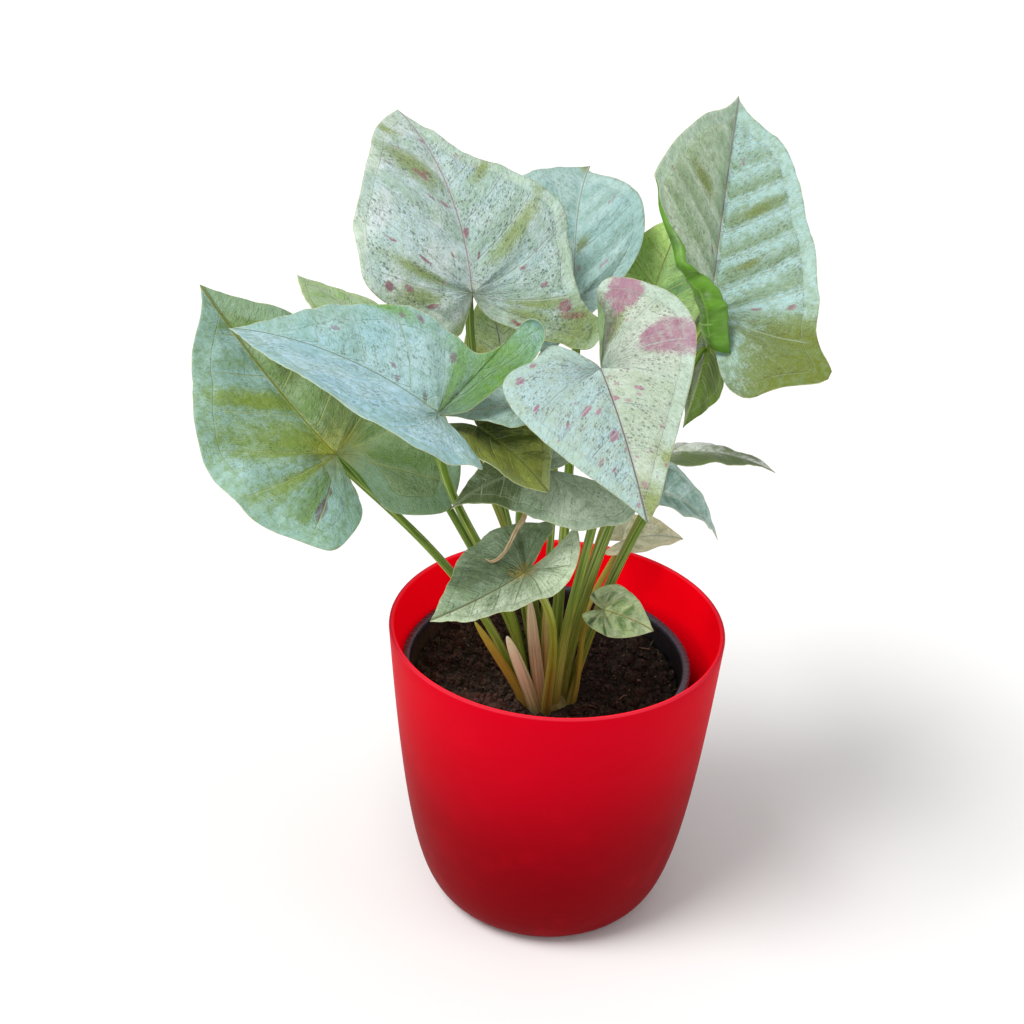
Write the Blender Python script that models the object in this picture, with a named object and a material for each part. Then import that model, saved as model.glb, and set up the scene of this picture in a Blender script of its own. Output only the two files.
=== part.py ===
"""Potted syngonium: a red planter holding a nursery pot of soil, a clump of stalks and its leaf blades.

Metres, +Z up. The origin is the middle of the planter's flat foot. The planter's front faces -Y.
"""
import bmesh
import bpy
import numpy as np
from dataclasses import dataclass
from math import cos, pi, radians, sin

MM = 0.001
GAP = 0.3

# Planter, in millimetres
PLANTER_HEIGHT = 142.0
PLANTER_RIM_RADIUS = 75.0
PLANTER_FOOT_RADIUS = 36.0
PLANTER_SWELL = 0.26
PLANTER_WALL = 2.2
PLANTER_FLOOR = 3.0
PLANTER_SIDES = 48

# Nursery pot, standing a little off the planter's axis
NURSERY_CENTRE = (-3.9, 1.2)
NURSERY_RIM_RADIUS = 65.3
NURSERY_RIM_BELOW_PLANTER = 20.0
NURSERY_BASE_RADIUS = 42.0
NURSERY_WALL = 1.4
NURSERY_LIP = 3.6
NURSERY_SIDES = 40
DRAIN_HOLES = 6
DRAIN_RADIUS = 4.0
DRAIN_RING = 26.0

# Soil and the stem base that stands in a plain hole in it
SOIL_BELOW_RIM = 10.0
SOIL_RELIEF = 1.6
SOIL_SEED = 11
CROWN_CENTRE = (-3.0, -21.0)
CROWN_HALF = (14.5, 11.0)
CROWN_DEPTH = 12.0

# Leaves and stalks
BLADE_THICKNESS = 0.8
SWELL_PLACES = (0.06, 0.16, 0.26, 0.36, 0.46, 0.56, 0.66, 0.76, 0.86)
SWELL_REACH = 0.06
STALK_SIDES = 6
STALK_STEPS = 12

SOIL_TOP = PLANTER_HEIGHT - NURSERY_RIM_BELOW_PLANTER - SOIL_BELOW_RIM


@dataclass(frozen=True)
class Leaf:
    """One blade, in millimetres and degrees. Pairs are its left and right half, seen from above.

    The swell of a half is how far its outline stands out at each of the swell places, from tip to heart.
    """
    heart: tuple
    tip: tuple
    roll: float = 0.0
    half: tuple = (20.0, 20.0)
    lobe: tuple = (18.0, 18.0)
    splay: tuple = (36.0, 36.0)
    widest: tuple = (0.1, 0.1)
    full: tuple = (0.42, 0.42)
    blunt: tuple = (0.15, 0.15)
    arch: float = 30.0
    fold: tuple = (12.0, 12.0)
    cup: tuple = (-15.0, -15.0)
    droop: tuple = (12.0, 12.0)
    wave: float = 1.0
    waves: float = 2.0
    phase: float = 0.0
    curls: tuple = ()
    swell: tuple = ((), ())
    rays: int = 12
    rings: int = 5


@dataclass(frozen=True)
class Curl:
    """A stretch of edge that rolls up. The shares run along the outline, 0 at the tip and 1 at the heart."""
    side: int
    start: float
    end: float
    width: float
    turn: float


LEAVES = {
    "leaf_top_left": Leaf(
        heart=(-42, -1, 298), tip=(-77, 57, 355), roll=-17, half=(54, 46), lobe=(21, 60), splay=(33, 63),
        widest=(0.07, 0.12), full=(0.35, 0.35), blunt=(0.55, -0.05), arch=49, fold=(9, 14), cup=(-27, 19),
        droop=(10, -17), wave=1.6, waves=2.2, phase=0.6, curls=(Curl(1, 0.62, 0.84, 5, 120),),
        swell=((0, 1, -0.5, 0, 0, 0, -0.5, -0.5, -0.5), (0.5, -4, 0.5, 2.5, 0.5, -3.5, 1, -5, -4)),
        rays=14, rings=5),
    "leaf_top_middle": Leaf(
        heart=(1, 33, 284), tip=(6, 92, 323), roll=17, half=(33, 33), lobe=(27, 10), splay=(36, 34),
        widest=(0.18, 0.33), full=(0.70, 0.40), blunt=(0.40, -0.10), arch=56, fold=(25, 14), cup=(7, -5)),
    "leaf_mid_left": Leaf(
        heart=(-52, -64, 274), tip=(-135, -38, 294), roll=11, half=(48, 28), lobe=(31, 53), splay=(39, 73),
        widest=(0.08, 0.06), full=(0.45, 0.50), blunt=(0.35, 0.05), arch=41, fold=(22, 36), cup=(4, 8),
        droop=(3, -19), wave=1.2, waves=2.0, phase=2.0, curls=(Curl(1, 0.60, 0.78, 5, 110),),
        swell=((0, 0, 0, 1.5, -0.5, -1, 1, -1, 1), (0, -0.5, 0.5, 1.5, 1, -2.5, 1, 0, -3)),
        rays=14, rings=5),
    "leaf_left": Leaf(
        heart=(-96, -20, 232), tip=(-157, 23, 287), roll=7, half=(49, 49), lobe=(47, 52), splay=(47, 27),
        widest=(0.10, 0.02), full=(0.45, 0.35), blunt=(0.20, 0.25), arch=-17, fold=(9, 22), cup=(-34, -7),
        droop=(17, 12), wave=1.6, waves=2.4, phase=1.0,
        swell=((-0.5, 1, -1, 0, 0, 1.5, -1.5, 0.5, 6), (0, 2, -0.5, 0, 0, 0, 0.5, -0.5, 7.5)),
        rays=14, rings=5),
    "leaf_front": Leaf(
        heart=(9, -59, 293), tip=(28, -101, 250), roll=-15, half=(39, 38), lobe=(39, 25), splay=(26, 50),
        widest=(-0.03, -0.03), full=(0.20, 0.40), blunt=(0.20, 0.15), arch=44, fold=(26, 5), cup=(-11, -14),
        droop=(-6, 16), wave=1.0, waves=1.8, phase=0.3,
        swell=((1, -0.5, -0.5, 0, 0, 1, 0, 2.5, -4), (0, 0, 0, 0, -0.5, 0, 0, 0, 0.5)),
        rays=14, rings=5),
    "leaf_top_right": Leaf(
        heart=(55, 3, 292), tip=(68, 89, 358), roll=-17, half=(43, 48), lobe=(30, 47), splay=(25, 28),
        widest=(0.35, -0.30), full=(0.30, 0.55), blunt=(0.25, 0.50), arch=-6, fold=(46, 30), cup=(-20, -2),
        droop=(0, -5), wave=1.4, waves=3.2, curls=(Curl(0, 0.44, 0.84, 9, 150), Curl(0, 0.62, 1.0, 20, 110)),
        swell=((0, 2, 0, -0.5, 3, -2, -3, -2.5, 0), (-2.5, 3, 0.5, -1, -1, -4, 3, 0.5, 1.5)),
        rays=16, rings=5),
    "leaf_behind_front": Leaf(
        heart=(32, 34, 278), tip=(48, 59, 318), roll=4, half=(25, 25), lobe=(23, 22), arch=24, rays=10),
    "leaf_right": Leaf(
        heart=(48, 38, 210), tip=(95, 36, 203), roll=11, half=(25, 23), lobe=(20, 20), full=(0.45, 0.40),
        blunt=(0.30, 0.15), arch=38, fold=(10, 8), cup=(-44, -14), wave=1.0, waves=2.6, rays=10),
    "leaf_right_low": Leaf(
        heart=(42, -4, 212), tip=(68, 3, 186), roll=-11, half=(18, 14), lobe=(14, 17), widest=(0.04, 0.04),
        arch=45, fold=(19, 11), cup=(-10, -8), rays=9, rings=4),
    "leaf_back_right": Leaf(
        heart=(30, 55, 154), tip=(60, 66, 150), roll=-16, half=(14, 13), lobe=(12, 12), blunt=(0.35, 0.30),
        arch=38, fold=(18, 19), cup=(-15, -3), rays=9, rings=4),
    "leaf_under_front": Leaf(
        heart=(-8, -36, 237), tip=(-47, -49, 224), roll=12, half=(32, 17), lobe=(39, 15), splay=(35, 36),
        widest=(-0.03, 0.01), full=(0.30, 0.40), blunt=(0.0, 0.15), arch=56, fold=(4, 12), cup=(-29, -15),
        droop=(0, 12), rays=11),
    "leaf_under_left": Leaf(
        heart=(-37, -48, 261), tip=(-8, -61, 240), roll=-10, half=(24, 25), lobe=(14, 14), splay=(60, 60),
        full=(0.45, 0.50), blunt=(0.30, 0.50), fold=(16, 17), cup=(-14, 10), rays=10),
    "leaf_low_front": Leaf(
        heart=(-16, -57, 201), tip=(-53, -76, 188), roll=0, half=(23, 25), lobe=(27, 25), splay=(9, 39),
        widest=(-0.01, 0.06), full=(0.40, 0.40), blunt=(0.30, 0.25), arch=-15, fold=(10, 22), cup=(-8, -5),
        droop=(-26, 11), rays=12,
        swell=((0.5, 1.5, -1.5, -1, 0, 2.5, 0.5, 0.5, 3), (0, 0, 0, 0, 0.5, -1, -0.5, 1, -1))),
    "leaf_small": Leaf(
        heart=(19, -25, 165), tip=(41, -26, 156), roll=-32, half=(13, 12), lobe=(9, 10), blunt=(0.15, 0.35),
        arch=34, fold=(13, 12), wave=0.5, rays=9, rings=4),
    "leaf_back_left": Leaf(
        heart=(-82, 57, 255), tip=(-123, 76, 272), roll=-8, half=(26, 21), lobe=(20, 20),
        full=(0.50, 0.35), blunt=(0.55, 0.05), arch=4, fold=(6, 4), cup=(-19, -8), rays=10),
    "leaf_behind_right": Leaf(
        heart=(57, 20, 270), tip=(50, 18, 232), roll=186, half=(19, 19), lobe=(17, 17), arch=12, rays=10),
    "leaf_inner": Leaf(
        heart=(-28, 12, 257), tip=(-37, 28, 290), half=(18, 12), lobe=(12, 9), full=(0.45, 0.55),
        blunt=(0.35, 0.45), arch=22, fold=(4, 12), cup=(0, -4), wave=0.6, rays=9, rings=4),
    "leaf_tucked": Leaf(
        heart=(-8, -40, 269), tip=(-52, -54, 268), roll=5, half=(20, 20), lobe=(14, 14), arch=7,
        fold=(9, 12), cup=(-16, -7), wave=1.6, waves=3.5, rays=12, rings=4),
}


@dataclass(frozen=True)
class Stalk:
    """A leaf stalk: its foot from the middle of the crown, and the two points that pull its curve."""
    foot: tuple
    low: tuple
    high: tuple
    thick: float = 3.1
    thin: float = 1.5


STALKS = {
    "leaf_top_left": Stalk((-4, 3), (-10, -16, 173), (-44, 4, 239)),
    "leaf_top_middle": Stalk((2, 6), (-1, -11, 169), (5, 40, 228)),
    "leaf_mid_left": Stalk((-8, 1), (-13, -12, 173), (-54, -35, 211)),
    "leaf_left": Stalk((-9, -2), (-27, -21, 179), (-92, -10, 213)),
    "leaf_front": Stalk((3, -3), (-2, -27, 167), (27, -14, 233)),
    "leaf_top_right": Stalk((6, 2), (-5, -20, 139), (40, 16, 248)),
    "leaf_behind_front": Stalk((4, 6), (4, -10, 168), (44, 48, 226), 2.6, 1.3),
    "leaf_right": Stalk((9, 4), (10, -12, 148), (34, 32, 176), 2.4, 1.2),
    "leaf_right_low": Stalk((8, -2), (7, -22, 130), (29, 4, 189), 2.6, 1.2),
    "leaf_back_right": Stalk((7, 3), (5, -8, 146), (20, 56, 127), 2.2, 1.2),
    "leaf_under_front": Stalk((-3, -1), (-13, -20, 192), (-30, -24, 215), 2.6, 1.3),
    "leaf_under_left": Stalk((-5, 1), (-5, -18, 183), (-44, 6, 213), 2.4, 1.3),
    "leaf_low_front": Stalk((0, -6), (-6, -31, 131), (6, -54, 178), 2.6, 1.3),
    "leaf_small": Stalk((9, -2), (14, -23, 130), (5, -16, 161), 1.8, 1.0),
    "leaf_back_left": Stalk((-6, 6), (-16, -8, 168), (-84, 53, 200), 2.4, 1.3),
    "leaf_behind_right": Stalk((7, 0), (4, -14, 167), (40, 24, 240), 2.4, 1.3),
    "leaf_inner": Stalk((-2, 4), (-8, -12, 172), (-28, 10, 220), 2.2, 1.2),
    "leaf_tucked": Stalk((-6, -2), (-5, -16, 181), (-2, 16, 218), 2.2, 1.2),
}


def cubic(start, pull_a, pull_b, end, share):
    """Points of a cubic curve at the given shares of its run."""
    u = np.asarray(share, float)[:, None]
    a, b, c, d = (np.asarray(p, float) for p in (start, pull_a, pull_b, end))
    return (1 - u) ** 3 * a + 3 * u * (1 - u) ** 2 * b + 3 * u * u * (1 - u) * c + u ** 3 * d


def unit(v):
    return v / np.linalg.norm(v)


def blade_frame(leaf):
    """Heart, forward, left and up directions of a blade, and its midrib's length along the arch."""
    heart, tip = np.array(leaf.heart, float), np.array(leaf.tip, float)
    forward = unit(tip - heart)
    up = np.array([0.0, 0.0, 1.0])
    up = unit(up - (up @ forward) * forward)
    left = np.cross(up, forward)
    turn = radians(leaf.roll)
    up, left = up * cos(turn) + left * sin(turn), left * cos(turn) - up * sin(turn)
    bend = radians(leaf.arch) / 2
    length = np.linalg.norm(tip - heart) * bend / sin(bend)
    return heart, forward, left, up, length


def half_outline(leaf, side, length, rays):
    """Flat outline of one half from the tip round the lobe towards the heart, as (forward, across) points."""
    half, lobe, full, blunt = leaf.half[side], leaf.lobe[side], leaf.full[side], leaf.blunt[side]
    angle = radians(leaf.splay[side])
    tip = np.array([length, 0.0])
    wide = np.array([leaf.widest[side] * length, half])
    lobe_end = lobe * np.array([-cos(angle), sin(angle)])
    outward = np.array([sin(angle), cos(angle)]) * 0.3 * lobe
    to_wide = cubic(tip, tip + (-0.2 * length, blunt * half), wide + (full * length, 0.06 * half), wide,
                    np.linspace(0, 1, 60))
    to_lobe = cubic(wide, wide - (0.55 * (wide[0] - lobe_end[0]), 0.03 * half), lobe_end + outward, lobe_end,
                    np.linspace(0, 1, 40))
    to_heart = cubic(lobe_end, lobe_end - 0.9 * outward, (-0.28 * lobe, 0.05 * lobe), (0, 0),
                     np.linspace(0, 1, 30))
    points = np.vstack([to_wide, to_lobe[1:], to_heart[1:]])
    run = np.r_[0, np.cumsum(np.linalg.norm(np.diff(points, axis=0), axis=1))]
    way = np.gradient(points, axis=0)
    way /= np.linalg.norm(way, axis=1)[:, None]
    outward = np.stack([way[:, 1], -way[:, 0]], axis=-1)
    for place, out in zip(SWELL_PLACES, leaf.swell[side]):
        points += (out * np.exp(-((run / run[-1] - place) / SWELL_REACH) ** 2))[:, None] * outward
    points[:, 1] = np.clip(points[:, 1], 0, None)
    at = np.linspace(0, run[-1], rays + 1)[:-1]
    return np.stack([np.interp(at, run, points[:, k]) for k in (0, 1)], axis=-1)


def arc(distance, start_angle, turn_per_length):
    """Where a path ends up, along and above, when it starts at an angle and turns evenly."""
    angle = start_angle + turn_per_length * distance
    if abs(turn_per_length) < 1e-9:
        return distance * np.cos(angle), distance * np.sin(angle), angle
    along = (np.sin(angle) - sin(start_angle)) / turn_per_length
    above = (cos(start_angle) - np.cos(angle)) / turn_per_length
    return along, above, angle


def bend_half(leaf, side, frame, s, t):
    """Flat points of one half, s forward of the heart and t across, carried onto the bent blade."""
    heart, forward, left, up, length = frame
    arch = radians(leaf.arch)
    ahead, behind = np.clip(s, 0, None), np.clip(-s, 0, None)
    front_x, front_z, front_angle = arc(ahead, arch / 2, -arch / length)
    back_x, back_z, back_angle = arc(behind, -arch / 2, -radians(leaf.droop[side]) / leaf.lobe[side])
    is_back = s < 0
    rib_x = np.where(is_back, -back_x, front_x)
    rib_z = np.where(is_back, back_z, front_z)
    slope = np.where(is_back, -back_angle, front_angle)
    half = leaf.half[side]
    across, rise, _ = arc(t, radians(leaf.fold[side]), radians(leaf.cup[side]) / half)
    ripple = 2 * pi * leaf.waves * s / length + leaf.phase + 2.1 * side
    rise = rise + leaf.wave * np.sin(ripple) * np.clip(t / half, 0, 1.2) ** 2
    sign = 1 if side == 0 else -1
    x = rib_x - np.sin(slope) * rise
    z = rib_z + np.cos(slope) * rise
    return heart + x[..., None] * forward + (sign * across)[..., None] * left + z[..., None] * up


def roll_edge(grid, rim, ring_share, curl):
    """Rolls a stretch of the edge of a half's grid [ray, ring, xyz] up and over."""
    rays = grid.shape[0]
    share = np.arange(rays) / rays
    middle, reach = (curl.start + curl.end) / 2, (curl.end - curl.start) / 2
    strength = np.clip(1 - ((share - middle) / reach) ** 2, 0, 1) ** 0.5
    out = grid.copy()
    for i in np.nonzero(strength > 0.05)[0]:
        hinge_share = max(0.3, 1 - curl.width / rim[i])
        hinge = np.array([np.interp(hinge_share, ring_share, grid[i, :, k]) for k in range(3)])
        before, after = grid[max(i - 1, 0), -1], grid[min(i + 1, rays - 1), -1]
        axis = unit(after - before) * (-1 if curl.side == 0 else 1)
        for j in np.nonzero(ring_share > hinge_share)[0]:
            turn = radians(curl.turn) * strength[i] * (ring_share[j] - hinge_share) / (1 - hinge_share)
            arm = grid[i, j] - hinge
            spun = arm * cos(turn / 2) + np.cross(axis, arm) * sin(turn / 2)
            out[i, j] = hinge + spun * np.sinc(turn / 2 / pi)
    return out


def blade_halves(leaf, rays, ring_share):
    """Upper face of a blade: for each half an array [ray, ring, xyz] in millimetres."""
    frame = blade_frame(leaf)
    halves = []
    for side in (0, 1):
        edge = half_outline(leaf, side, frame[4], rays)
        flat = edge[:, None, :] * ring_share[None, :, None]
        grid = bend_half(leaf, side, frame, flat[..., 0], flat[..., 1])
        for curl in leaf.curls:
            if curl.side == side:
                grid = roll_edge(grid, np.linalg.norm(edge, axis=1), ring_share, curl)
        halves.append(grid)
    return halves


def blade_faces(rays, rings):
    """Triangles of a blade's upper face and the loop of its edge. Vertex 0 is the heart, then the midrib."""
    def index(side, ray, ring):
        if ring == 0:
            return 0
        if ray == 0:
            return ring
        return rings + side * (rays - 1) * rings + (ray - 1) * rings + ring

    triangles = []
    for side in (0, 1):
        for ray in range(rays - 1):
            for ring in range(rings):
                a, b = index(side, ray, ring), index(side, ray, ring + 1)
                c, d = index(side, ray + 1, ring + 1), index(side, ray + 1, ring)
                corners = [(a, b, c)] if ring == 0 else [(a, b, c), (a, c, d)]
                triangles += corners if side == 0 else [tri[::-1] for tri in corners]
    loop = [index(0, ray, rings) for ray in range(rays)]
    loop += [index(0, rays - 1, ring) for ring in range(rings - 1, -1, -1)]
    loop += [index(1, rays - 1, ring) for ring in range(1, rings + 1)]
    loop += [index(1, ray, rings) for ray in range(rays - 2, 0, -1)]
    return triangles, loop


def blade_solid(leaf):
    """Vertices in millimetres and triangles of one blade as a thin closed solid."""
    ring_share = np.linspace(0, 1, leaf.rings + 1) ** 0.85
    left, right = blade_halves(leaf, leaf.rays, ring_share)
    top = np.vstack([left[0], left[1:, 1:].reshape(-1, 3), right[1:, 1:].reshape(-1, 3)])
    triangles, loop = blade_faces(leaf.rays, leaf.rings)
    normals = np.zeros_like(top)
    for a, b, c in triangles:
        face_normal = np.cross(top[b] - top[a], top[c] - top[a])
        for corner in (a, b, c):
            normals[corner] += face_normal
    normals /= np.linalg.norm(normals, axis=1)[:, None]
    under = len(top)
    points = np.vstack([top, top - BLADE_THICKNESS * normals])
    faces = list(triangles) + [(c + under, b + under, a + under) for a, b, c in triangles]
    for a, b in zip(loop, loop[1:] + loop[:1]):
        faces += [(a, a + under, b + under), (a, b + under, b)]
    return points, faces


def stalk_route(stalk, leaf, steps):
    """Points of a stalk from inside the crown to just under its blade."""
    heart, forward, _, up, _ = blade_frame(leaf)
    foot = (CROWN_CENTRE[0] + stalk.foot[0], CROWN_CENTRE[1] + stalk.foot[1], SOIL_TOP - 6)
    end = heart + 1.0 * forward - (BLADE_THICKNESS + GAP + 0.1) * up
    return cubic(foot, stalk.low, stalk.high, end, np.linspace(0, 1, steps + 1)), up


def material(name, colour, roughness, metallic=0.0):
    """Principled material with one colour."""
    made = bpy.data.materials.new(name)
    made.use_nodes = True
    shader = made.node_tree.nodes["Principled BSDF"]
    shader.inputs["Base Color"].default_value = (*colour, 1.0)
    shader.inputs["Roughness"].default_value = roughness
    shader.inputs["Metallic"].default_value = metallic
    return made


def add_object(name, points, faces, finish, smooth_under=40.0):
    """Object from points in millimetres and faces, with its normals turned outward."""
    mesh = bpy.data.meshes.new(name)
    mesh.from_pydata([tuple(p * MM) for p in np.asarray(points, float)], [], faces)
    work = bmesh.new()
    work.from_mesh(mesh)
    bmesh.ops.recalc_face_normals(work, faces=work.faces)
    work.to_mesh(mesh)
    work.free()
    mesh.shade_smooth()
    mesh.set_sharp_from_angle(angle=radians(smooth_under))
    obj = bpy.data.objects.new(name, mesh)
    bpy.context.scene.collection.objects.link(obj)
    if finish is not None:
        mesh.materials.append(finish)
    return obj


def turned(name, profile, sides, finish, centre=(0.0, 0.0)):
    """Solid of revolution from a profile of (radius, height) that starts and ends on the axis."""
    inner = profile[1:-1]
    points = [(centre[0], centre[1], profile[0][1])]
    for radius, height in inner:
        for step in range(sides):
            angle = 2 * pi * step / sides
            points.append((centre[0] + radius * cos(angle), centre[1] + radius * sin(angle), height))
    points.append((centre[0], centre[1], profile[-1][1]))
    last = len(points) - 1
    faces = []
    for step in range(sides):
        after = (step + 1) % sides
        faces.append((0, 1 + after, 1 + step))
        for row in range(len(inner) - 1):
            a, b = 1 + row * sides + step, 1 + row * sides + after
            faces.append((a, b, b + sides, a + sides))
        top_row = 1 + (len(inner) - 1) * sides
        faces.append((top_row + step, top_row + after, last))
    return add_object(name, points, faces, finish, 35.0)


def apply_boolean(target, operation, operand=None, collection=None, solver="EXACT"):
    """Runs one Boolean on the target, applies it and removes what it used."""
    modifier = target.modifiers.new("join", "BOOLEAN")
    modifier.operation = operation
    modifier.solver = solver
    if collection is None:
        modifier.object = operand
        used = [operand]
    else:
        modifier.operand_type = "COLLECTION"
        modifier.collection = collection
        used = list(collection.objects)
    evaluated = target.evaluated_get(bpy.context.evaluated_depsgraph_get())
    mesh = bpy.data.meshes.new_from_object(evaluated)
    target.modifiers.clear()
    target.data = mesh
    for obj in used:
        bpy.data.objects.remove(obj)
    if collection is not None:
        bpy.data.collections.remove(collection)


def planter_radius(height):
    """Outer radius of the planter: it swells quickly above the foot, then rises almost straight."""
    swell = PLANTER_RIM_RADIUS - PLANTER_FOOT_RADIUS
    return PLANTER_FOOT_RADIUS + swell * (height / PLANTER_HEIGHT) ** PLANTER_SWELL


def make_planter(finish):
    top = PLANTER_HEIGHT
    shares = (0.006, 0.024, 0.06, 0.14, 0.28, 0.48, 0.74)
    outside = [(planter_radius(share * top), share * top) for share in shares]
    rim_edge = 0.8
    rim = [
        (PLANTER_RIM_RADIUS, top - rim_edge),
        (PLANTER_RIM_RADIUS - rim_edge, top),
        (PLANTER_RIM_RADIUS - PLANTER_WALL, top),
        (PLANTER_RIM_RADIUS - PLANTER_WALL - 0.4, top - rim_edge),
    ]
    inner_shares = [share for share in shares if share * top > PLANTER_FLOOR]
    inside = [(planter_radius(share * top) - PLANTER_WALL, share * top) for share in reversed(inner_shares)]
    floor_corner = (planter_radius(PLANTER_FLOOR) - PLANTER_WALL - 1.0, PLANTER_FLOOR)
    profile = [(0, 0), (PLANTER_FOOT_RADIUS, 0)] + outside + rim + inside + [floor_corner, (0, PLANTER_FLOOR)]
    return turned("planter", profile, PLANTER_SIDES, finish)


def nursery_heights():
    base = PLANTER_FLOOR + GAP
    return base, PLANTER_HEIGHT - NURSERY_RIM_BELOW_PLANTER


def nursery_radius(height):
    """Outer radius of the nursery pot's straight tapered wall."""
    base, top = nursery_heights()
    wall_top = NURSERY_RIM_RADIUS - NURSERY_LIP + NURSERY_WALL
    return NURSERY_BASE_RADIUS + (wall_top - NURSERY_BASE_RADIUS) * (height - base) / (top - base)


def make_nursery_pot(finish):
    base, top = nursery_heights()
    under_lip = top - NURSERY_LIP
    outer_lip = NURSERY_RIM_RADIUS
    inner_top = nursery_radius(top) - NURSERY_WALL
    profile = [
        (0, base),
        (NURSERY_BASE_RADIUS, base),
        (nursery_radius(base + 55), base + 55),
        (nursery_radius(under_lip), under_lip),
        (outer_lip - 0.6, under_lip),
        (outer_lip, under_lip + 0.8),
        (outer_lip, top - 1.0),
        (outer_lip - 1.2, top),
        (inner_top + 0.8, top),
        (inner_top, top - 1.0),
        (nursery_radius(base + 55) - NURSERY_WALL, base + 55),
        (NURSERY_BASE_RADIUS - NURSERY_WALL, base + NURSERY_WALL),
        (0, base + NURSERY_WALL),
    ]
    pot = turned("nursery_pot", profile, NURSERY_SIDES, finish, NURSERY_CENTRE)
    drains = bpy.data.collections.new("drains")
    bpy.context.scene.collection.children.link(drains)
    for k in range(DRAIN_HOLES):
        angle = 2 * pi * k / DRAIN_HOLES
        place = (NURSERY_CENTRE[0] + DRAIN_RING * cos(angle), NURSERY_CENTRE[1] + DRAIN_RING * sin(angle))
        cutter = add_drum("drain_%d" % k, place, (DRAIN_RADIUS, DRAIN_RADIUS), base - 1, base + 3, 12)
        bpy.context.scene.collection.objects.unlink(cutter)
        drains.objects.link(cutter)
    apply_boolean(pot, "DIFFERENCE", collection=drains)
    return pot


def add_drum(name, centre, half, low, high, sides):
    """Upright drum with an oval section, used as a cutter or as a core."""
    points, faces = [], []
    for height in (low, high):
        for step in range(sides):
            angle = 2 * pi * step / sides
            points.append((centre[0] + half[0] * cos(angle), centre[1] + half[1] * sin(angle), height))
    for step in range(sides):
        after = (step + 1) % sides
        faces.append((step, after, sides + after, sides + step))
    faces.append(tuple(range(sides))[::-1])
    faces.append(tuple(range(sides, 2 * sides)))
    return add_object(name, points, faces, None)


def make_soil(finish):
    """Soil that fills the nursery pot, with an uneven top and a plain oval hole for the crown."""
    random = np.random.default_rng(SOIL_SEED)
    base, _ = nursery_heights()
    bottom = base + NURSERY_WALL + GAP
    sides, ring_shares = 40, (0.28, 0.52, 0.76, 0.92, 1.0)
    top_radius = nursery_radius(SOIL_TOP) - NURSERY_WALL - GAP
    bottom_radius = NURSERY_BASE_RADIUS - NURSERY_WALL - GAP
    points = [(NURSERY_CENTRE[0], NURSERY_CENTRE[1], SOIL_TOP)]
    for share in ring_shares:
        for step in range(sides):
            angle = 2 * pi * step / sides
            relief = SOIL_RELIEF * random.uniform(-1, 1) * (0 if share == 1.0 else 1)
            points.append((NURSERY_CENTRE[0] + top_radius * share * cos(angle),
                           NURSERY_CENTRE[1] + top_radius * share * sin(angle), SOIL_TOP + relief))
    for step in range(sides):
        angle = 2 * pi * step / sides
        points.append((NURSERY_CENTRE[0] + bottom_radius * cos(angle),
                       NURSERY_CENTRE[1] + bottom_radius * sin(angle), bottom))
    faces = []
    rows = len(ring_shares) + 1
    for step in range(sides):
        after = (step + 1) % sides
        faces.append((0, 1 + step, 1 + after))
        for row in range(rows - 1):
            a, b = 1 + row * sides + step, 1 + row * sides + after
            faces += [(a, a + sides, b + sides), (a, b + sides, b)]
    faces.append(tuple(1 + (rows - 1) * sides + step for step in range(sides)))
    soil = add_object("soil", points, faces, finish)
    hole_half = (CROWN_HALF[0] + GAP, CROWN_HALF[1] + GAP)
    hole_floor = SOIL_TOP - CROWN_DEPTH - GAP
    cutter = add_drum("crown_hole", CROWN_CENTRE, hole_half, hole_floor, SOIL_TOP + 5, 24)
    apply_boolean(soil, "DIFFERENCE", operand=cutter)
    return soil


def tube(name, route, radii, sides, end_up=None):
    """Closed tube along a route, with a flat section at each point. The last one can lie square to end_up."""
    route = np.asarray(route, float)
    ways = np.gradient(route, axis=0)
    ways /= np.linalg.norm(ways, axis=1)[:, None]
    if end_up is not None:
        ways[-1] = end_up
    side = unit(np.cross(ways[0], (0.0, 1.0, 0.3)))
    points = []
    for place, way, radius in zip(route, ways, radii):
        side = unit(side - (side @ way) * way)
        other = np.cross(way, side)
        for step in range(sides):
            angle = 2 * pi * step / sides
            points.append(place + radius * (cos(angle) * side + sin(angle) * other))
    faces = []
    for row in range(len(route) - 1):
        for step in range(sides):
            after = (step + 1) % sides
            a, b = row * sides + step, row * sides + after
            faces += [(a, b, b + sides), (a, b + sides, a + sides)]
    faces.append(tuple(range(sides))[::-1])
    faces.append(tuple(len(route) * sides - sides + step for step in range(sides)))
    return add_object(name, points, faces, None)


def stalk_radii(stalk, steps):
    """Thick at the foot, slim above, a little wider again where the blade sits."""
    share = np.linspace(0, 1, steps + 1)
    radii = stalk.thin + 0.35 + (stalk.thick - stalk.thin - 0.35) * (1 - share) ** 2.2
    radii[-1] = stalk.thin * 0.8
    return radii


@dataclass(frozen=True)
class Sheath:
    """A spent sheath that hugs the clump: foot, two pulling points and tip, with its width at the middle."""
    foot: tuple
    low: tuple
    high: tuple
    tip: tuple
    width: float


SHEATHS = {
    "tan": Sheath((-6, -27, 106), (-11, -28, 124), (-17, -31, 140), (-22, -32, 154), 3.0),
    "pink": Sheath((-4, -26, 106), (-8, -28, 130), (-11, -30, 152), (-13, -31, 172), 2.9),
    "pale": Sheath((-2, -25, 106), (-4, -27, 130), (-5, -27, 150), (-6, -26, 168), 2.6),
    "old_stalk": Sheath((-10, -24, 106), (-14, -25, 122), (-26, -27, 140), (-36, -31, 160), 2.4),
}


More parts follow.
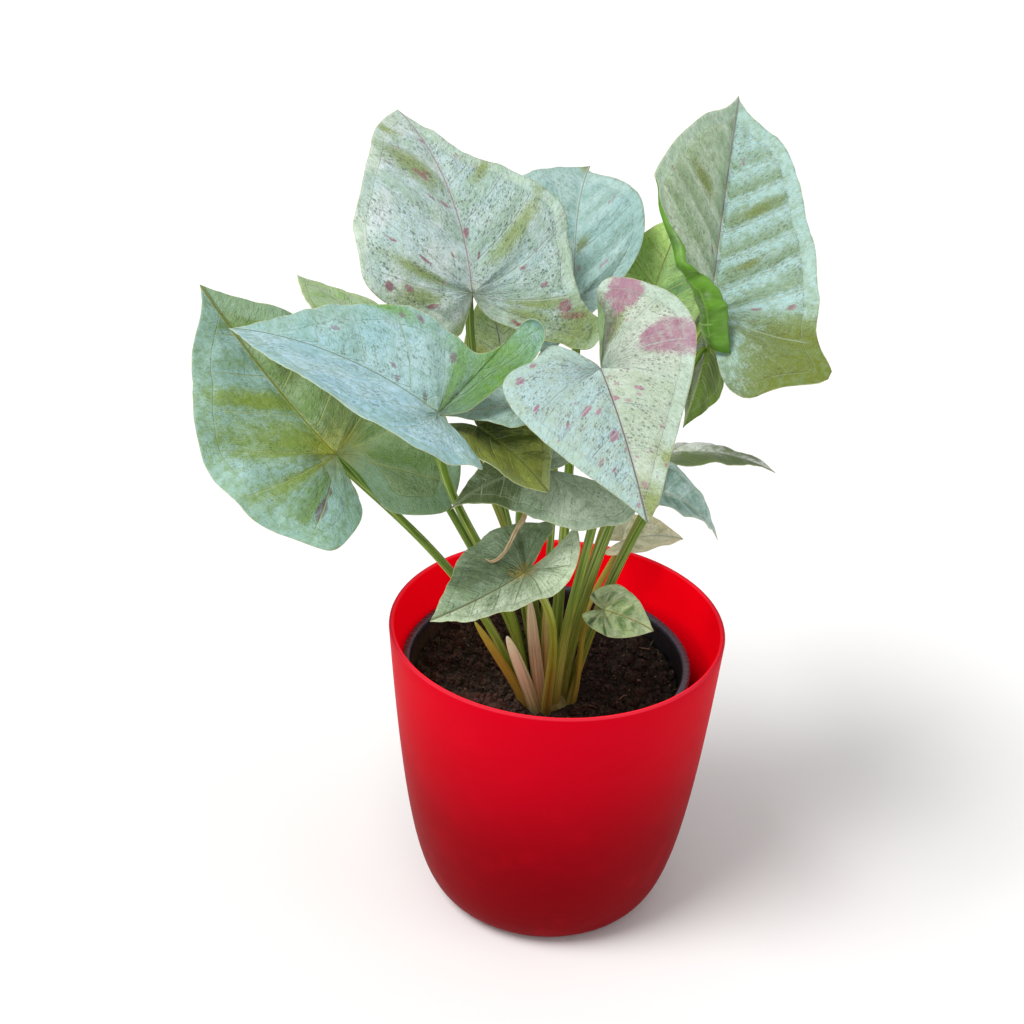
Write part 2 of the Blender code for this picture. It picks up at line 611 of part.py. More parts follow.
def make_stems(finish):
    """Crown, leaf stalks and sheaths, joined in one solid."""
    crown = add_drum("stems", CROWN_CENTRE, CROWN_HALF, SOIL_TOP - CROWN_DEPTH, SOIL_TOP, 24)
    pieces = bpy.data.collections.new("stalks")
    bpy.context.scene.collection.children.link(pieces)
    grown = []
    for name, stalk in STALKS.items():
        route, up = stalk_route(stalk, LEAVES[name], STALK_STEPS)
        grown.append(tube("stalk_" + name, route, stalk_radii(stalk, STALK_STEPS), STALK_SIDES, up))
    for name, sheath in SHEATHS.items():
        share = np.linspace(0, 1, 8)
        route = cubic(sheath.foot, sheath.low, sheath.high, sheath.tip, share)
        radii = sheath.width * np.sqrt(np.clip(1.02 - share ** 4, 0.04, 1))
        grown.append(tube("sheath_" + name, route, radii, STALK_SIDES))
    for piece in grown:
        bpy.context.scene.collection.objects.unlink(piece)
        pieces.objects.link(piece)
    apply_boolean(crown, "UNION", collection=pieces, solver="MANIFOLD")
    crown.data.materials.clear()
    crown.data.materials.append(finish)
    return crown


STRAND_ROUTE = (
    (-17, -32.8, 221.4), (-16, -38, 217), (-20, -43.4, 212.5), (-22, -46.7, 209.1), (-24, -49.6, 206.1),
    (-26.6, -52.3, 203.8), (-29.6, -53.2, 202.6), (-32, -51.8, 203.4))


def make_dried_strand(finish):
    """A dry curled strand that leans on a stalk and droops over the low front leaf, where its end rests."""
    share = np.linspace(0, 1, len(STRAND_ROUTE))
    radii = 0.5 + 0.9 * np.sin(pi * np.clip(share + 0.1, 0, 1)) ** 0.7
    strand = tube("dried_strand", STRAND_ROUTE, radii, 6)
    strand.data.materials.append(finish)
    return strand


def main():
    for old in list(bpy.data.objects):
        bpy.data.objects.remove(old)
    make_planter(material("red_plastic", (0.78, 0.012, 0.03), 0.35))
    make_nursery_pot(material("black_plastic", (0.02, 0.021, 0.025), 0.45))
    make_soil(material("potting_soil", (0.03, 0.02, 0.014), 0.95))
    make_stems(material("stalk_green", (0.22, 0.32, 0.07), 0.5))
    make_dried_strand(material("dry_tan", (0.55, 0.36, 0.2), 0.8))
    blade_finish = material("blade_mint", (0.42, 0.62, 0.5), 0.5)
    for name, leaf in LEAVES.items():
        points, faces = blade_solid(leaf)
        add_object(name, points, faces, blade_finish, 60.0)


main()
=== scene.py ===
"""Looks of the potted syngonium: fine leaf blades, stalks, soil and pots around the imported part.

Lengths are millimetres until a mesh is made. Colours of surfaces are sRGB values from 0 to 255.
"""
from dataclasses import dataclass
from functools import reduce
from math import cos, pi, radians, sin, tan
from types import SimpleNamespace

import bpy
import numpy as np
from mathutils import Matrix, Vector
from mathutils import noise as turbulence


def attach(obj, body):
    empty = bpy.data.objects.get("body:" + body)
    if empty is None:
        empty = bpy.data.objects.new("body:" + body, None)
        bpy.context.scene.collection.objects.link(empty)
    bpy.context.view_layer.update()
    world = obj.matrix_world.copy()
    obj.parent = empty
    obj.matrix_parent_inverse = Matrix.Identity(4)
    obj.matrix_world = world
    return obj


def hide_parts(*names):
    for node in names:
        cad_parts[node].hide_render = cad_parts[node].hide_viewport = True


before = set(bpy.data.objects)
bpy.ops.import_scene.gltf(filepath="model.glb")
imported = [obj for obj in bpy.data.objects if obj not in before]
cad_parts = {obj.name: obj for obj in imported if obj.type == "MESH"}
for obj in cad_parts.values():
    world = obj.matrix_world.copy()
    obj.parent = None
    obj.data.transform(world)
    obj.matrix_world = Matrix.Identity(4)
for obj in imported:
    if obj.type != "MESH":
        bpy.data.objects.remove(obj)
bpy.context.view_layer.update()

MM = 0.001

# Camera, fitted to the photograph's ellipses of the planter's rim and foot
CAMERA_PLACE = (-22.2, -681.0, 571.8)
CAMERA_DOWN = 28.82
CAMERA_ROLL = -2.42
CAMERA_LENS = 63.28
SENSOR = 36.0

# Pots
PLANTER_HEIGHT = 142.0
PLANTER_RIM_RADIUS = 75.0
PLANTER_FOOT_RADIUS = 36.0
PLANTER_SWELL = 0.26
PLANTER_WALL = 2.2
PLANTER_FLOOR = 3.0
NURSERY_CENTRE = (-3.9, 1.2)
NURSERY_RIM_RADIUS = 65.3
NURSERY_RIM_BELOW_PLANTER = 20.0
NURSERY_BASE_RADIUS = 42.0
NURSERY_WALL = 1.4
NURSERY_LIP = 3.6
GAP = 0.3
NURSERY_BOTTOM = PLANTER_FLOOR + GAP
NURSERY_TOP = PLANTER_HEIGHT - NURSERY_RIM_BELOW_PLANTER

# The planter's inner wall has a painted glow above this height: brighter red and an emission that stand in
# for light coming through the plastic
PAINTED_GLOW_BOTTOM = 90.0
PAINTED_GLOW_COLOUR = (224.6, 0, 17.9)

# Soil and the stem base in it
SOIL_BELOW_RIM = 10.0
SOIL_TOP = NURSERY_TOP - SOIL_BELOW_RIM
CROWN_CENTRE = (-3.0, -21.0)
CROWN_HALF = (14.5, 11.0)
CROWN_RISE = 9.0
CROWN_DEPTH = 6.0
CROWN_MOUND = (20.0, 16.0)
CLOD_CENTRE = (-34.0, -28.0)
CLOD_HALF = (15.0, 11.0)
CRUMB_COUNT = 2800
CHIP_COUNT = 90
FIBRE_COUNT = 24

# Steps of the meshes: points of an outline, rays and rings of a blade, rows and sides of tubes and rings
OUTLINE_STEPS = (60, 40, 30)
RIM_SAMPLES = 400
BIG_BLADE_HALF = 34.0
BIG_BLADE_GRID = (96, 46)
SMALL_BLADE_GRID = (60, 28)
STALK_STEPS = 61
STALK_SIDES = 18
SHEATH_STEPS = 40
SHEATH_SIDES = 16
STRAND_STEPS = 60
STRAND_SIDES = 14
STRAND_SMOOTHINGS = 12
FIBRE_STEPS = 8
FIBRE_SIDES = 5
CROWN_ROWS = 16
CROWN_SIDES = 72
SOIL_RINGS = 70
SOIL_SIDES = 200
PLANTER_SIDES = 144
NURSERY_SIDES = 128

# Leaves
CAD_BLADE_THICKNESS = 0.8
BLADE_THICKNESS = 0.45
SWELL_PLACES = (0.06, 0.16, 0.26, 0.36, 0.46, 0.56, 0.66, 0.76, 0.86)
SWELL_REACH = 0.06
FAN_REACH = 30.0
VEIN_SWEEP = 0.5
PUFF_HEIGHT = 1.6
SEAM_DEPTH = 0.3
WRINKLE_SCALES = (0.13, 0.06, 1.0)
RIM_SHARE = 0.55
SIGNS = (1, -1)
BLADE_RIM_COLOUR = (206, 210, 158)
BLADE_ROUGHNESS = 0.5

# Pulls of an outline's curves, as shares of the length, of the way to the lobe and of the lobe
TIP_PULL = 0.2
LOBE_PULL = 0.55
LOBE_ROUNDNESS = 0.3

# Shifts that keep the patterns of blades, of their halves and of stalks apart
BLADE_SHIFT = 31.0
HALF_SHIFT = 7.0
STALK_SHIFT = 3.0

# Studio
FLOOR_REACH = 6000.0
WORLD_STRENGTH = 0.54


@dataclass(frozen=True)
class Curl:
    """A stretch of edge that rolls up. The shares run along the outline, 0 at the tip and 1 at the heart."""
    side: int
    start: float
    end: float
    width: float
    turn: float


@dataclass(frozen=True)
class Leaf:
    """One blade, in millimetres and degrees. Pairs are its left and right half, seen from above.

    The swell of a half is how far its outline stands out at each of the swell places, from tip to heart.
    """
    heart: tuple
    tip: tuple
    roll: float = 0.0
    half: tuple = (20.0, 20.0)
    lobe: tuple = (20.0, 20.0)
    splay: tuple = (36.0, 36.0)
    widest: tuple = (0.1, 0.1)
    full: tuple = (0.42, 0.42)
    blunt: tuple = (0.15, 0.15)
    arch: float = 56.0
    fold: tuple = (12.0, 12.0)
    cup: tuple = (-15.0, -15.0)
    droop: tuple = (12.0, 12.0)
    wave: float = 1.0
    waves: float = 2.0
    phase: float = 0.0
    curls: tuple = ()
    swell: tuple = ((), ())


LEAVES = {
    "leaf_top_left": Leaf(
        heart=(-42, -1, 298), tip=(-77, 57, 355), roll=-17, half=(54, 46), lobe=(21, 60), splay=(33, 63),
        widest=(0.07, 0.12), full=(0.35, 0.35), blunt=(0.55, -0.05), arch=49, fold=(9, 14), cup=(-27, 19),
        droop=(10, -17), wave=1.6, waves=2.2, phase=0.6, curls=(Curl(1, 0.62, 0.84, 5, 120),),
        swell=((0, 1, -0.5, 0, 0, 0, -0.5, -0.5, -0.5), (0.5, -4, 0.5, 2.5, 0.5, -3.5, 1, -5, -4))),
    "leaf_top_middle": Leaf(
        heart=(1, 33, 284), tip=(6, 92, 323), roll=17, half=(33, 33), lobe=(27, 10), splay=(36, 34),
        widest=(0.18, 0.33), full=(0.70, 0.40), blunt=(0.40, -0.10), fold=(25, 14), cup=(7, -5)),
    "leaf_mid_left": Leaf(
        heart=(-52, -64, 274), tip=(-135, -38, 294), roll=11, half=(48, 28), lobe=(31, 53), splay=(39, 73),
        widest=(0.08, 0.06), full=(0.45, 0.50), blunt=(0.35, 0.05), arch=41, fold=(22, 36), cup=(4, 8),
        droop=(3, -19), wave=1.2, phase=2.0, curls=(Curl(1, 0.60, 0.78, 5, 110),),
        swell=((0, 0, 0, 1.5, -0.5, -1, 1, -1, 1), (0, -0.5, 0.5, 1.5, 1, -2.5, 1, 0, -3))),
    "leaf_left": Leaf(
        heart=(-96, -20, 232), tip=(-157, 23, 287), roll=7, half=(49, 49), lobe=(47, 52), splay=(47, 27),
        widest=(0.10, 0.02), full=(0.45, 0.35), blunt=(0.20, 0.25), arch=-17, fold=(9, 22), cup=(-34, -7),
        droop=(17, 12), wave=1.6, waves=2.4, phase=1.0,
        swell=((-0.5, 1, -1, 0, 0, 1.5, -1.5, 0.5, 6), (0, 2, -0.5, 0, 0, 0, 0.5, -0.5, 7.5))),
    "leaf_front": Leaf(
        heart=(9, -59, 293), tip=(28, -101, 250), roll=-15, half=(39, 38), lobe=(39, 25), splay=(26, 50),
        widest=(-0.03, -0.03), full=(0.20, 0.40), blunt=(0.20, 0.15), arch=44, fold=(26, 5), cup=(-11, -14),
        droop=(-6, 16), waves=1.8, phase=0.3,
        swell=((1, -0.5, -0.5, 0, 0, 1, 0, 2.5, -4), (0, 0, 0, 0, -0.5, 0, 0, 0, 0.5))),
    "leaf_top_right": Leaf(
        heart=(55, 3, 292), tip=(68, 89, 358), roll=-17, half=(43, 48), lobe=(30, 47), splay=(25, 28),
        widest=(0.35, -0.30), full=(0.30, 0.55), blunt=(0.25, 0.50), arch=-6, fold=(46, 30), cup=(-20, -2),
        droop=(0, -5), wave=1.4, waves=3.2,
        curls=(Curl(0, 0.44, 0.84, 9, 150), Curl(0, 0.62, 1.0, 20, 110)),
        swell=((0, 2, 0, -0.5, 3, -2, -3, -2.5, 0), (-2.5, 3, 0.5, -1, -1, -4, 3, 0.5, 1.5))),
    "leaf_behind_front": Leaf(
        heart=(32, 34, 278), tip=(48, 59, 318), roll=4, half=(25, 25), lobe=(23, 22), arch=24),
    "leaf_right": Leaf(
        heart=(48, 38, 210), tip=(95, 36, 203), roll=11, half=(25, 23), full=(0.45, 0.40),
        blunt=(0.30, 0.15), arch=38, fold=(10, 8), cup=(-44, -14), waves=2.6),
    "leaf_right_low": Leaf(
        heart=(42, -4, 212), tip=(68, 3, 186), roll=-11, half=(18, 14), lobe=(14, 17), widest=(0.04, 0.04),
        arch=45, fold=(19, 11), cup=(-10, -8)),
    "leaf_back_right": Leaf(
        heart=(30, 55, 154), tip=(60, 66, 150), roll=-16, half=(14, 13), lobe=(12, 12), blunt=(0.35, 0.30),
        arch=38, fold=(18, 19), cup=(-15, -3)),
    "leaf_under_front": Leaf(
        heart=(-8, -36, 237), tip=(-47, -49, 224), roll=12, half=(32, 17), lobe=(39, 15), splay=(35, 36),
        widest=(-0.03, 0.01), full=(0.30, 0.40), blunt=(0.0, 0.15), fold=(4, 12), cup=(-29, -15),
        droop=(0, 12)),
    "leaf_under_left": Leaf(
        heart=(-37, -48, 261), tip=(-8, -61, 240), roll=-10, half=(24, 25), lobe=(14, 14), splay=(60, 60),
        full=(0.45, 0.50), blunt=(0.30, 0.50), arch=30, fold=(16, 17), cup=(-14, 10)),
    "leaf_low_front": Leaf(
        heart=(-16, -57, 201), tip=(-53, -76, 188), half=(23, 25), lobe=(27, 25), splay=(9, 39),
        widest=(-0.01, 0.06), full=(0.40, 0.40), blunt=(0.30, 0.25), arch=-15, fold=(10, 22), cup=(-8, -5),
        droop=(-26, 11),
        swell=((0.5, 1.5, -1.5, -1, 0, 2.5, 0.5, 0.5, 3), (0, 0, 0, 0, 0.5, -1, -0.5, 1, -1))),
    "leaf_small": Leaf(
        heart=(19, -25, 165), tip=(41, -26, 156), roll=-32, half=(13, 12), lobe=(9, 10), blunt=(0.15, 0.35),
        arch=34, fold=(13, 12), wave=0.5),
    "leaf_back_left": Leaf(
        heart=(-82, 57, 255), tip=(-123, 76, 272), roll=-8, half=(26, 21), full=(0.50, 0.35),
        blunt=(0.55, 0.05), arch=4, fold=(6, 4), cup=(-19, -8)),
    "leaf_behind_right": Leaf(
        heart=(57, 20, 270), tip=(50, 18, 232), roll=186, half=(19, 19), lobe=(17, 17), arch=12),
    "leaf_inner": Leaf(
        heart=(-28, 12, 257), tip=(-37, 28, 290), half=(18, 12), lobe=(12, 9), full=(0.45, 0.55),
        blunt=(0.35, 0.45), arch=22, fold=(4, 12), cup=(0, -4), wave=0.6),
    "leaf_tucked": Leaf(
        heart=(-8, -40, 269), tip=(-52, -54, 268), roll=5, lobe=(14, 14), arch=7, fold=(9, 12),
        cup=(-16, -7), wave=1.6, waves=3.5),
}


@dataclass(frozen=True)
class Look:
    """Colours and markings of one blade. Shares are of the blade's length ahead and of its half across."""
    mint: tuple = (170, 204, 200)
    pale: tuple = (196, 220, 218)
    green: tuple = (132, 162, 124)
    olive: tuple = (132, 142, 54)
    shade: tuple = (86, 110, 62)
    right: tuple = (150, 170, 140)
    pink: tuple = (190, 124, 142)
    edge: tuple = (164, 194, 160)
    vein: tuple = (206, 222, 196)
    rib: tuple = (208, 214, 196)
    line: tuple = (140, 120, 112)
    speck: tuple = (92, 108, 92)
    heart: tuple = (214, 206, 90)
    under: tuple = (112, 156, 36)
    # Green flames between the veins: partly the leaf's own green, partly painted shade on the heart side of
    # each pleat
    flame_and_pleat_shade: float = 0.6
    margin: float = 0.5
    speckle: float = 0.6
    right_share: float = 0.0
    glow: float = 0.0
    glow_reach: float = 18.0
    angle: float = 62.0
    fan: float = 34.0
    laterals: float = 4.0
    pleat: float = 0.6
    wrinkle: float = 0.5
    # Strength of the painted highlight on the crinkles' ridges and the painted shade in their hollows
    crinkle_highlight_and_shade: float = 0.4
    band: float = 3.6
    blush: float = 0.0
    pinks: tuple = ()
    olives: tuple = ()
    shades: tuple = ()


# A mark is (ahead, across, long, wide): two shares of the blade, then its half size in mm along the veins
# and across them
# Shade marks are the blade's own dark patches on most blades, and painted shade where other leaves overhang
# leaf_left, leaf_under_front and leaf_under_left
LOOKS = {
    "leaf_top_left": Look(
        mint=(204, 230, 230), pale=(230, 244, 244), green=(160, 192, 158), olive=(140, 158, 66),
        shade=(150, 86, 70), right=(176, 210, 208), pink=(154, 92, 112), edge=(190, 212, 168),
        vein=(206, 222, 206), rib=(206, 196, 196), line=(146, 104, 112), speck=(78, 94, 84),
        heart=(214, 206, 204), flame_and_pleat_shade=0.5, margin=0.55, speckle=1.0, right_share=0.55, glow=0.45, angle=60,
        laterals=5.2, pleat=0.9, wrinkle=1.0, crinkle_highlight_and_shade=0.35, band=5.2, blush=0.3,
        pinks=((0.76, 0.02, 2.6, 1.2), (0.54, 0.26, 3.6, 1.4), (0.43, 0.25, 2.2, 0.7),
               (0.40, 0.10, 2.8, 0.9), (0.27, -0.03, 1.8, 1.6), (0.24, 0.70, 2.0, 0.9),
               (0.14, 0.45, 3.4, 1.0), (0.03, 0.79, 1.8, 1.2), (0.02, 0.63, 2.0, 1.1),
               (0.04, 0.30, 1.6, 0.7), (0.16, -0.11, 1.0, 1.2), (0.10, -0.53, 1.8, 0.8),
               (0.02, -0.69, 2.4, 0.9), (-0.09, -0.85, 3.2, 1.8), (0.65, -0.22, 1.8, 0.8),
               (-0.06, 0.43, 2.8, 1.1), (0.70, 0.34, 1.5, 0.8)),
        olives=((0.60, 0.31, 13, 7.0), (0.81, 0.34, 4, 3.0), (0.08, 0.48, 14, 2.4), (0.25, -0.50, 18, 3.4),
                (0.56, -0.40, 9, 2.4), (-0.07, -0.63, 16, 2.6), (-0.02, 0.53, 12, 4.0),
                (-0.20, -0.98, 16, 6.0), (-0.12, -0.5, 12, 3.0), (-0.22, 0.16, 14, 9.0),
                (-0.3, -0.8, 14, 4.0)),
        shades=((0.61, 0.51, 1.6, 0.8), (0.55, 0.20, 3.0, 0.7), (0.16, 0.18, 1.0, 0.7),
                (-0.14, -0.90, 6.0, 0.8), (-0.16, -0.42, 5.0, 1.0))),
    "leaf_top_middle": Look(
        mint=(164, 204, 204), pale=(192, 222, 220), green=(138, 176, 162), pink=(166, 138, 150),
        edge=(156, 188, 170), vein=(200, 220, 208), rib=(196, 216, 208), line=(150, 160, 150), margin=0.35,
        speckle=0.5, angle=66, laterals=6.2, pleat=1.7, wrinkle=0.6, band=5.0,
        pinks=((0.16, -0.04, 2.4, 1.0), (0.16, -0.45, 3.0, 0.8), (0.55, -0.5, 2, 0.8)),
        olives=((0.31, -0.10, 4, 2.0), (0.96, 0.0, 5, 5.0))),
    "leaf_mid_left": Look(
        mint=(180, 222, 240), pale=(204, 236, 248), green=(132, 174, 150), olive=(106, 156, 26),
        shade=(98, 70, 76), right=(136, 174, 152), pink=(132, 104, 122), edge=(130, 168, 128),
        vein=(176, 204, 172), rib=(176, 206, 198), line=(150, 180, 166), heart=(170, 184, 120), flame_and_pleat_shade=0.4,
        speckle=0.9, right_share=0.4, glow=0.5, angle=56, laterals=4.6, pleat=0.5, wrinkle=0.9,
        crinkle_highlight_and_shade=0.14, band=6.5,
        pinks=((0.54, -0.32, 1.2, 1.5), (0.40, 0.08, 1.4, 1.2), (0.26, -0.20, 1.1, 1.0),
               (0.22, -0.08, 1.4, 0.8), (0.33, -0.86, 1.0, 1.0), (0.26, -0.93, 1.6, 1.0),
               (0.08, -0.77, 2.4, 1.6)),
        olives=((0.44, -0.90, 2.6, 12.0), (0.02, -0.46, 20, 6.0), (-0.12, -0.85, 24, 16.0),
                (-0.18, -0.4, 14, 8.0)),
        shades=((0.08, -0.06, 3.0, 0.7),)),
    # On this blade the darker right half and the shade marks on it are painted shade, where leaf_mid_left
    # overhangs it
    "leaf_left": Look(
        mint=(152, 190, 184), pale=(174, 212, 210), green=(112, 146, 74), olive=(138, 160, 56),
        shade=(92, 112, 50), right=(144, 168, 110), pink=(104, 84, 100), edge=(152, 188, 160),
        vein=(176, 192, 116), rib=(176, 186, 92), line=(110, 118, 50), speck=(76, 90, 66),
        heart=(196, 190, 50), flame_and_pleat_shade=0.85, margin=0.75, speckle=0.5, right_share=0.85, glow=0.75,
        glow_reach=22.0, angle=64, laterals=4.2, pleat=1.3, wrinkle=0.6, crinkle_highlight_and_shade=0.15, band=8.0,
        pinks=((-0.19, 0.48, 6.5, 1.5), (-0.14, 0.32, 2.2, 1.1)),
        olives=((0.08, 0.10, 30, 14.0), (0.38, 0.24, 20, 5.0), (0.12, 0.42, 18, 5.0),
                (-0.02, 0.38, 24, 4.0)),
        shades=((0.24, -0.50, 26, 9.0), (0.05, -0.30, 14, 8.0), (0.5, -0.3, 12, 8.0),
                (0.12, -0.29, 1.8, 1.4))),
    "leaf_front": Look(
        mint=(188, 206, 184), pale=(208, 220, 204), green=(166, 184, 152), olive=(140, 154, 64),
        shade=(92, 98, 76), right=(178, 212, 216), pink=(168, 110, 138), edge=(184, 212, 196),
        vein=(190, 208, 196), rib=(178, 178, 168), line=(128, 98, 92), speck=(92, 92, 84),
        under=(120, 150, 96), flame_and_pleat_shade=0.3, margin=0.7, speckle=0.95, right_share=0.85, laterals=3.8,
        pleat=0.5, wrinkle=0.9, crinkle_highlight_and_shade=0.3, band=5.0, blush=0.8,
        pinks=((0.02, 0.74, 12, 8.0), (-0.44, 0.50, 9, 5.0), (-0.36, 0.42, 5, 1.6),
               (-0.05, -0.81, 1.6, 1.4), (-0.14, -0.64, 1.4, 1.0), (0.27, -0.29, 2.6, 1.1),
               (0.30, -0.18, 1.8, 0.8), (0.23, 0.02, 2.4, 0.9), (0.24, 0.28, 1.8, 0.7),
               (0.46, -0.10, 2.3, 1.6), (0.17, -0.75, 1.2, 1.0), (0.34, -0.51, 1.1, 0.9),
               (0.60, 0.20, 0.8, 0.8), (0.88, -0.04, 1.2, 1.0), (0.78, 0.06, 1.0, 1.4),
               (0.70, 0.30, 1.0, 0.6), (0.76, 0.20, 0.8, 0.5), (0.80, 0.35, 0.9, 0.5)),
        olives=((0.90, 0.06, 12, 8.0), (0.72, 0.42, 8, 4.0), (-0.25, 0.30, 10, 3.0)),
        shades=((-0.22, 0.18, 14, 5.0), (-0.38, 0.16, 10, 5.0), (-0.06, 0.05, 5, 2.5))),
    "leaf_top_right": Look(
        mint=(190, 214, 180), pale=(214, 230, 208), green=(132, 160, 114), olive=(122, 136, 44),
        shade=(112, 126, 30), right=(180, 220, 224), pink=(152, 104, 116), edge=(176, 206, 186),
        vein=(190, 206, 170), rib=(206, 208, 196), line=(190, 178, 168), speck=(84, 92, 80),
        under=(96, 152, 26), flame_and_pleat_shade=0.8, margin=0.6, speckle=0.7, right_share=0.85, angle=70, fan=36,
        laterals=7.4, pleat=1.9, wrinkle=0.6, crinkle_highlight_and_shade=0.25, band=6.0, blush=0.3,
        pinks=((0.68, -0.12, 1.6, 1.6), (0.00, -0.39, 2.6, 1.3), (0.00, -0.69, 2.6, 1.1),
               (-0.02, -0.09, 1.4, 1.2), (0.25, 0.12, 1.4, 2.6), (0.45, 0.85, 1.4, 0.9)),
        olives=((-0.12, -0.85, 26, 6.0), (-0.15, -0.45, 18, 5.0), (-0.30, -0.80, 34, 16.0),
                (-0.42, -0.60, 20, 8.0), (0.45, -0.30, 9, 2.6), (0.19, -0.25, 7, 2.0), (0.5, 0.4, 8, 3.0)),
        shades=((-0.34, -0.85, 30, 11.0), (-0.14, -0.75, 20, 3.5))),
    "leaf_behind_front": Look(
        mint=(204, 242, 136), pale=(218, 246, 160), green=(160, 210, 104), olive=(64, 112, 76),
        right=(150, 192, 140), edge=(214, 240, 140), vein=(194, 212, 122), rib=(192, 210, 128),
        line=(160, 186, 96), under=(180, 220, 110), flame_and_pleat_shade=0.4, speckle=0.4, right_share=0.6, laterals=4.2,
        pleat=0.9,
        olives=((0.2, -0.35, 12, 4.0), (0.0, -0.5, 10, 6.0), (0.5, -0.5, 7, 3.0))),
    "leaf_right": Look(
        mint=(250, 254, 250), pale=(254, 255, 254), green=(126, 150, 60), shade=(84, 110, 0),
        edge=(210, 218, 206), vein=(150, 168, 90), line=(140, 160, 90), under=(82, 104, 30), flame_and_pleat_shade=0.05,
        speckle=0.1, crinkle_highlight_and_shade=0.05,
        shades=((0.35, -0.75, 18, 40.0), (0.8, -0.2, 20, 20.0), (0.75, 0.5, 12, 12.0))),
    "leaf_right_low": Look(
        mint=(162, 198, 188), pale=(192, 222, 216), green=(98, 136, 122), edge=(194, 216, 198),
        vein=(164, 186, 158), line=(140, 156, 120), flame_and_pleat_shade=0.8, pleat=1.0),
    "leaf_back_right": Look(
        mint=(228, 224, 190), pale=(238, 234, 206), green=(180, 176, 134), edge=(240, 216, 160),
        vein=(206, 206, 160), line=(160, 160, 110), flame_and_pleat_shade=0.8, speckle=0.5, pleat=0.8),
    # Its shade marks are painted shade, where leaf_under_left and leaf_mid_left overhang it
    "leaf_under_front": Look(
        mint=(184, 206, 176), pale=(206, 222, 200), green=(130, 154, 112), shade=(98, 112, 50),
        edge=(170, 194, 164), vein=(216, 228, 198), rib=(196, 210, 176), line=(130, 146, 100), flame_and_pleat_shade=0.7,
        speckle=0.8, angle=66, laterals=4.6, pleat=1.0, wrinkle=0.9, band=4.6,
        shades=((0.60, 0.30, 16, 9.0), (0.80, 0.0, 10, 9.0), (0.45, -0.3, 14, 8.0))),
    # Its shade mark near the heart is painted shade under leaf_mid_left
    "leaf_under_left": Look(
        mint=(138, 146, 54), pale=(154, 164, 68), green=(106, 116, 34), olive=(162, 174, 76),
        shade=(62, 74, 18), edge=(164, 182, 128), vein=(144, 154, 80), rib=(146, 156, 84),
        line=(110, 122, 56), margin=0.8, speckle=0.9, laterals=4.2, pleat=0.9,
        olives=((0.8, -0.2, 10, 9.0),), shades=((0.04, 0.0, 12, 10.0),)),
    "leaf_low_front": Look(
        mint=(216, 234, 200), pale=(230, 242, 216), green=(150, 172, 128), shade=(88, 108, 72),
        right=(146, 174, 140), edge=(150, 172, 132), vein=(104, 122, 90), rib=(176, 186, 140),
        line=(84, 92, 50), heart=(214, 178, 70), speckle=0.9, right_share=0.85, glow=0.9, glow_reach=9.0,
        angle=58, fan=40, laterals=3.8, pleat=0.9, wrinkle=0.9, band=4.0,
        shades=((0.52, -0.5, 10, 6.0), (-0.1, -0.35, 7, 2.5), (0.2, -0.3, 12, 3.0))),
    "leaf_small": Look(
        mint=(224, 244, 176), pale=(242, 250, 212), green=(104, 152, 70), shade=(46, 84, 40),
        edge=(196, 220, 150), vein=(220, 226, 170), rib=(220, 218, 150), line=(176, 176, 100),
        heart=(214, 216, 130), flame_and_pleat_shade=0.9, speckle=0.4, glow=0.7, glow_reach=10.0, laterals=3.6, pleat=0.9,
        shades=((-0.15, -0.6, 4, 3.0), (0.1, -0.8, 5, 1.6), (-0.3, 0.5, 5, 2.0))),
    "leaf_back_left": Look(
        mint=(172, 204, 152), pale=(188, 214, 170), green=(150, 190, 108), edge=(192, 210, 146),
        line=(160, 180, 120), flame_and_pleat_shade=0.5, speckle=0.4),
    "leaf_behind_right": Look(
        under=(94, 126, 22), flame_and_pleat_shade=0.5, laterals=4.6),
    "leaf_inner": Look(
        mint=(226, 244, 196), pale=(240, 250, 220), green=(184, 214, 124), olive=(214, 208, 80),
        edge=(220, 222, 96), vein=(190, 206, 160), line=(130, 150, 90), margin=0.7,
        olives=((0.1, -0.7, 16, 4.0), (0.3, 0.8, 16, 5.0))),
    "leaf_tucked": Look(
        mint=(164, 200, 196), pale=(182, 214, 210), green=(126, 154, 110), line=(130, 150, 120), flame_and_pleat_shade=0.4),
}


@dataclass(frozen=True)
class Stalk:
    """A leaf stalk: its foot from the middle of the crown, and the two points that pull its curve."""
    foot: tuple
    low: tuple
    high: tuple
    thick: float = 3.1
    thin: float = 1.5
    yellow: float = 0.0


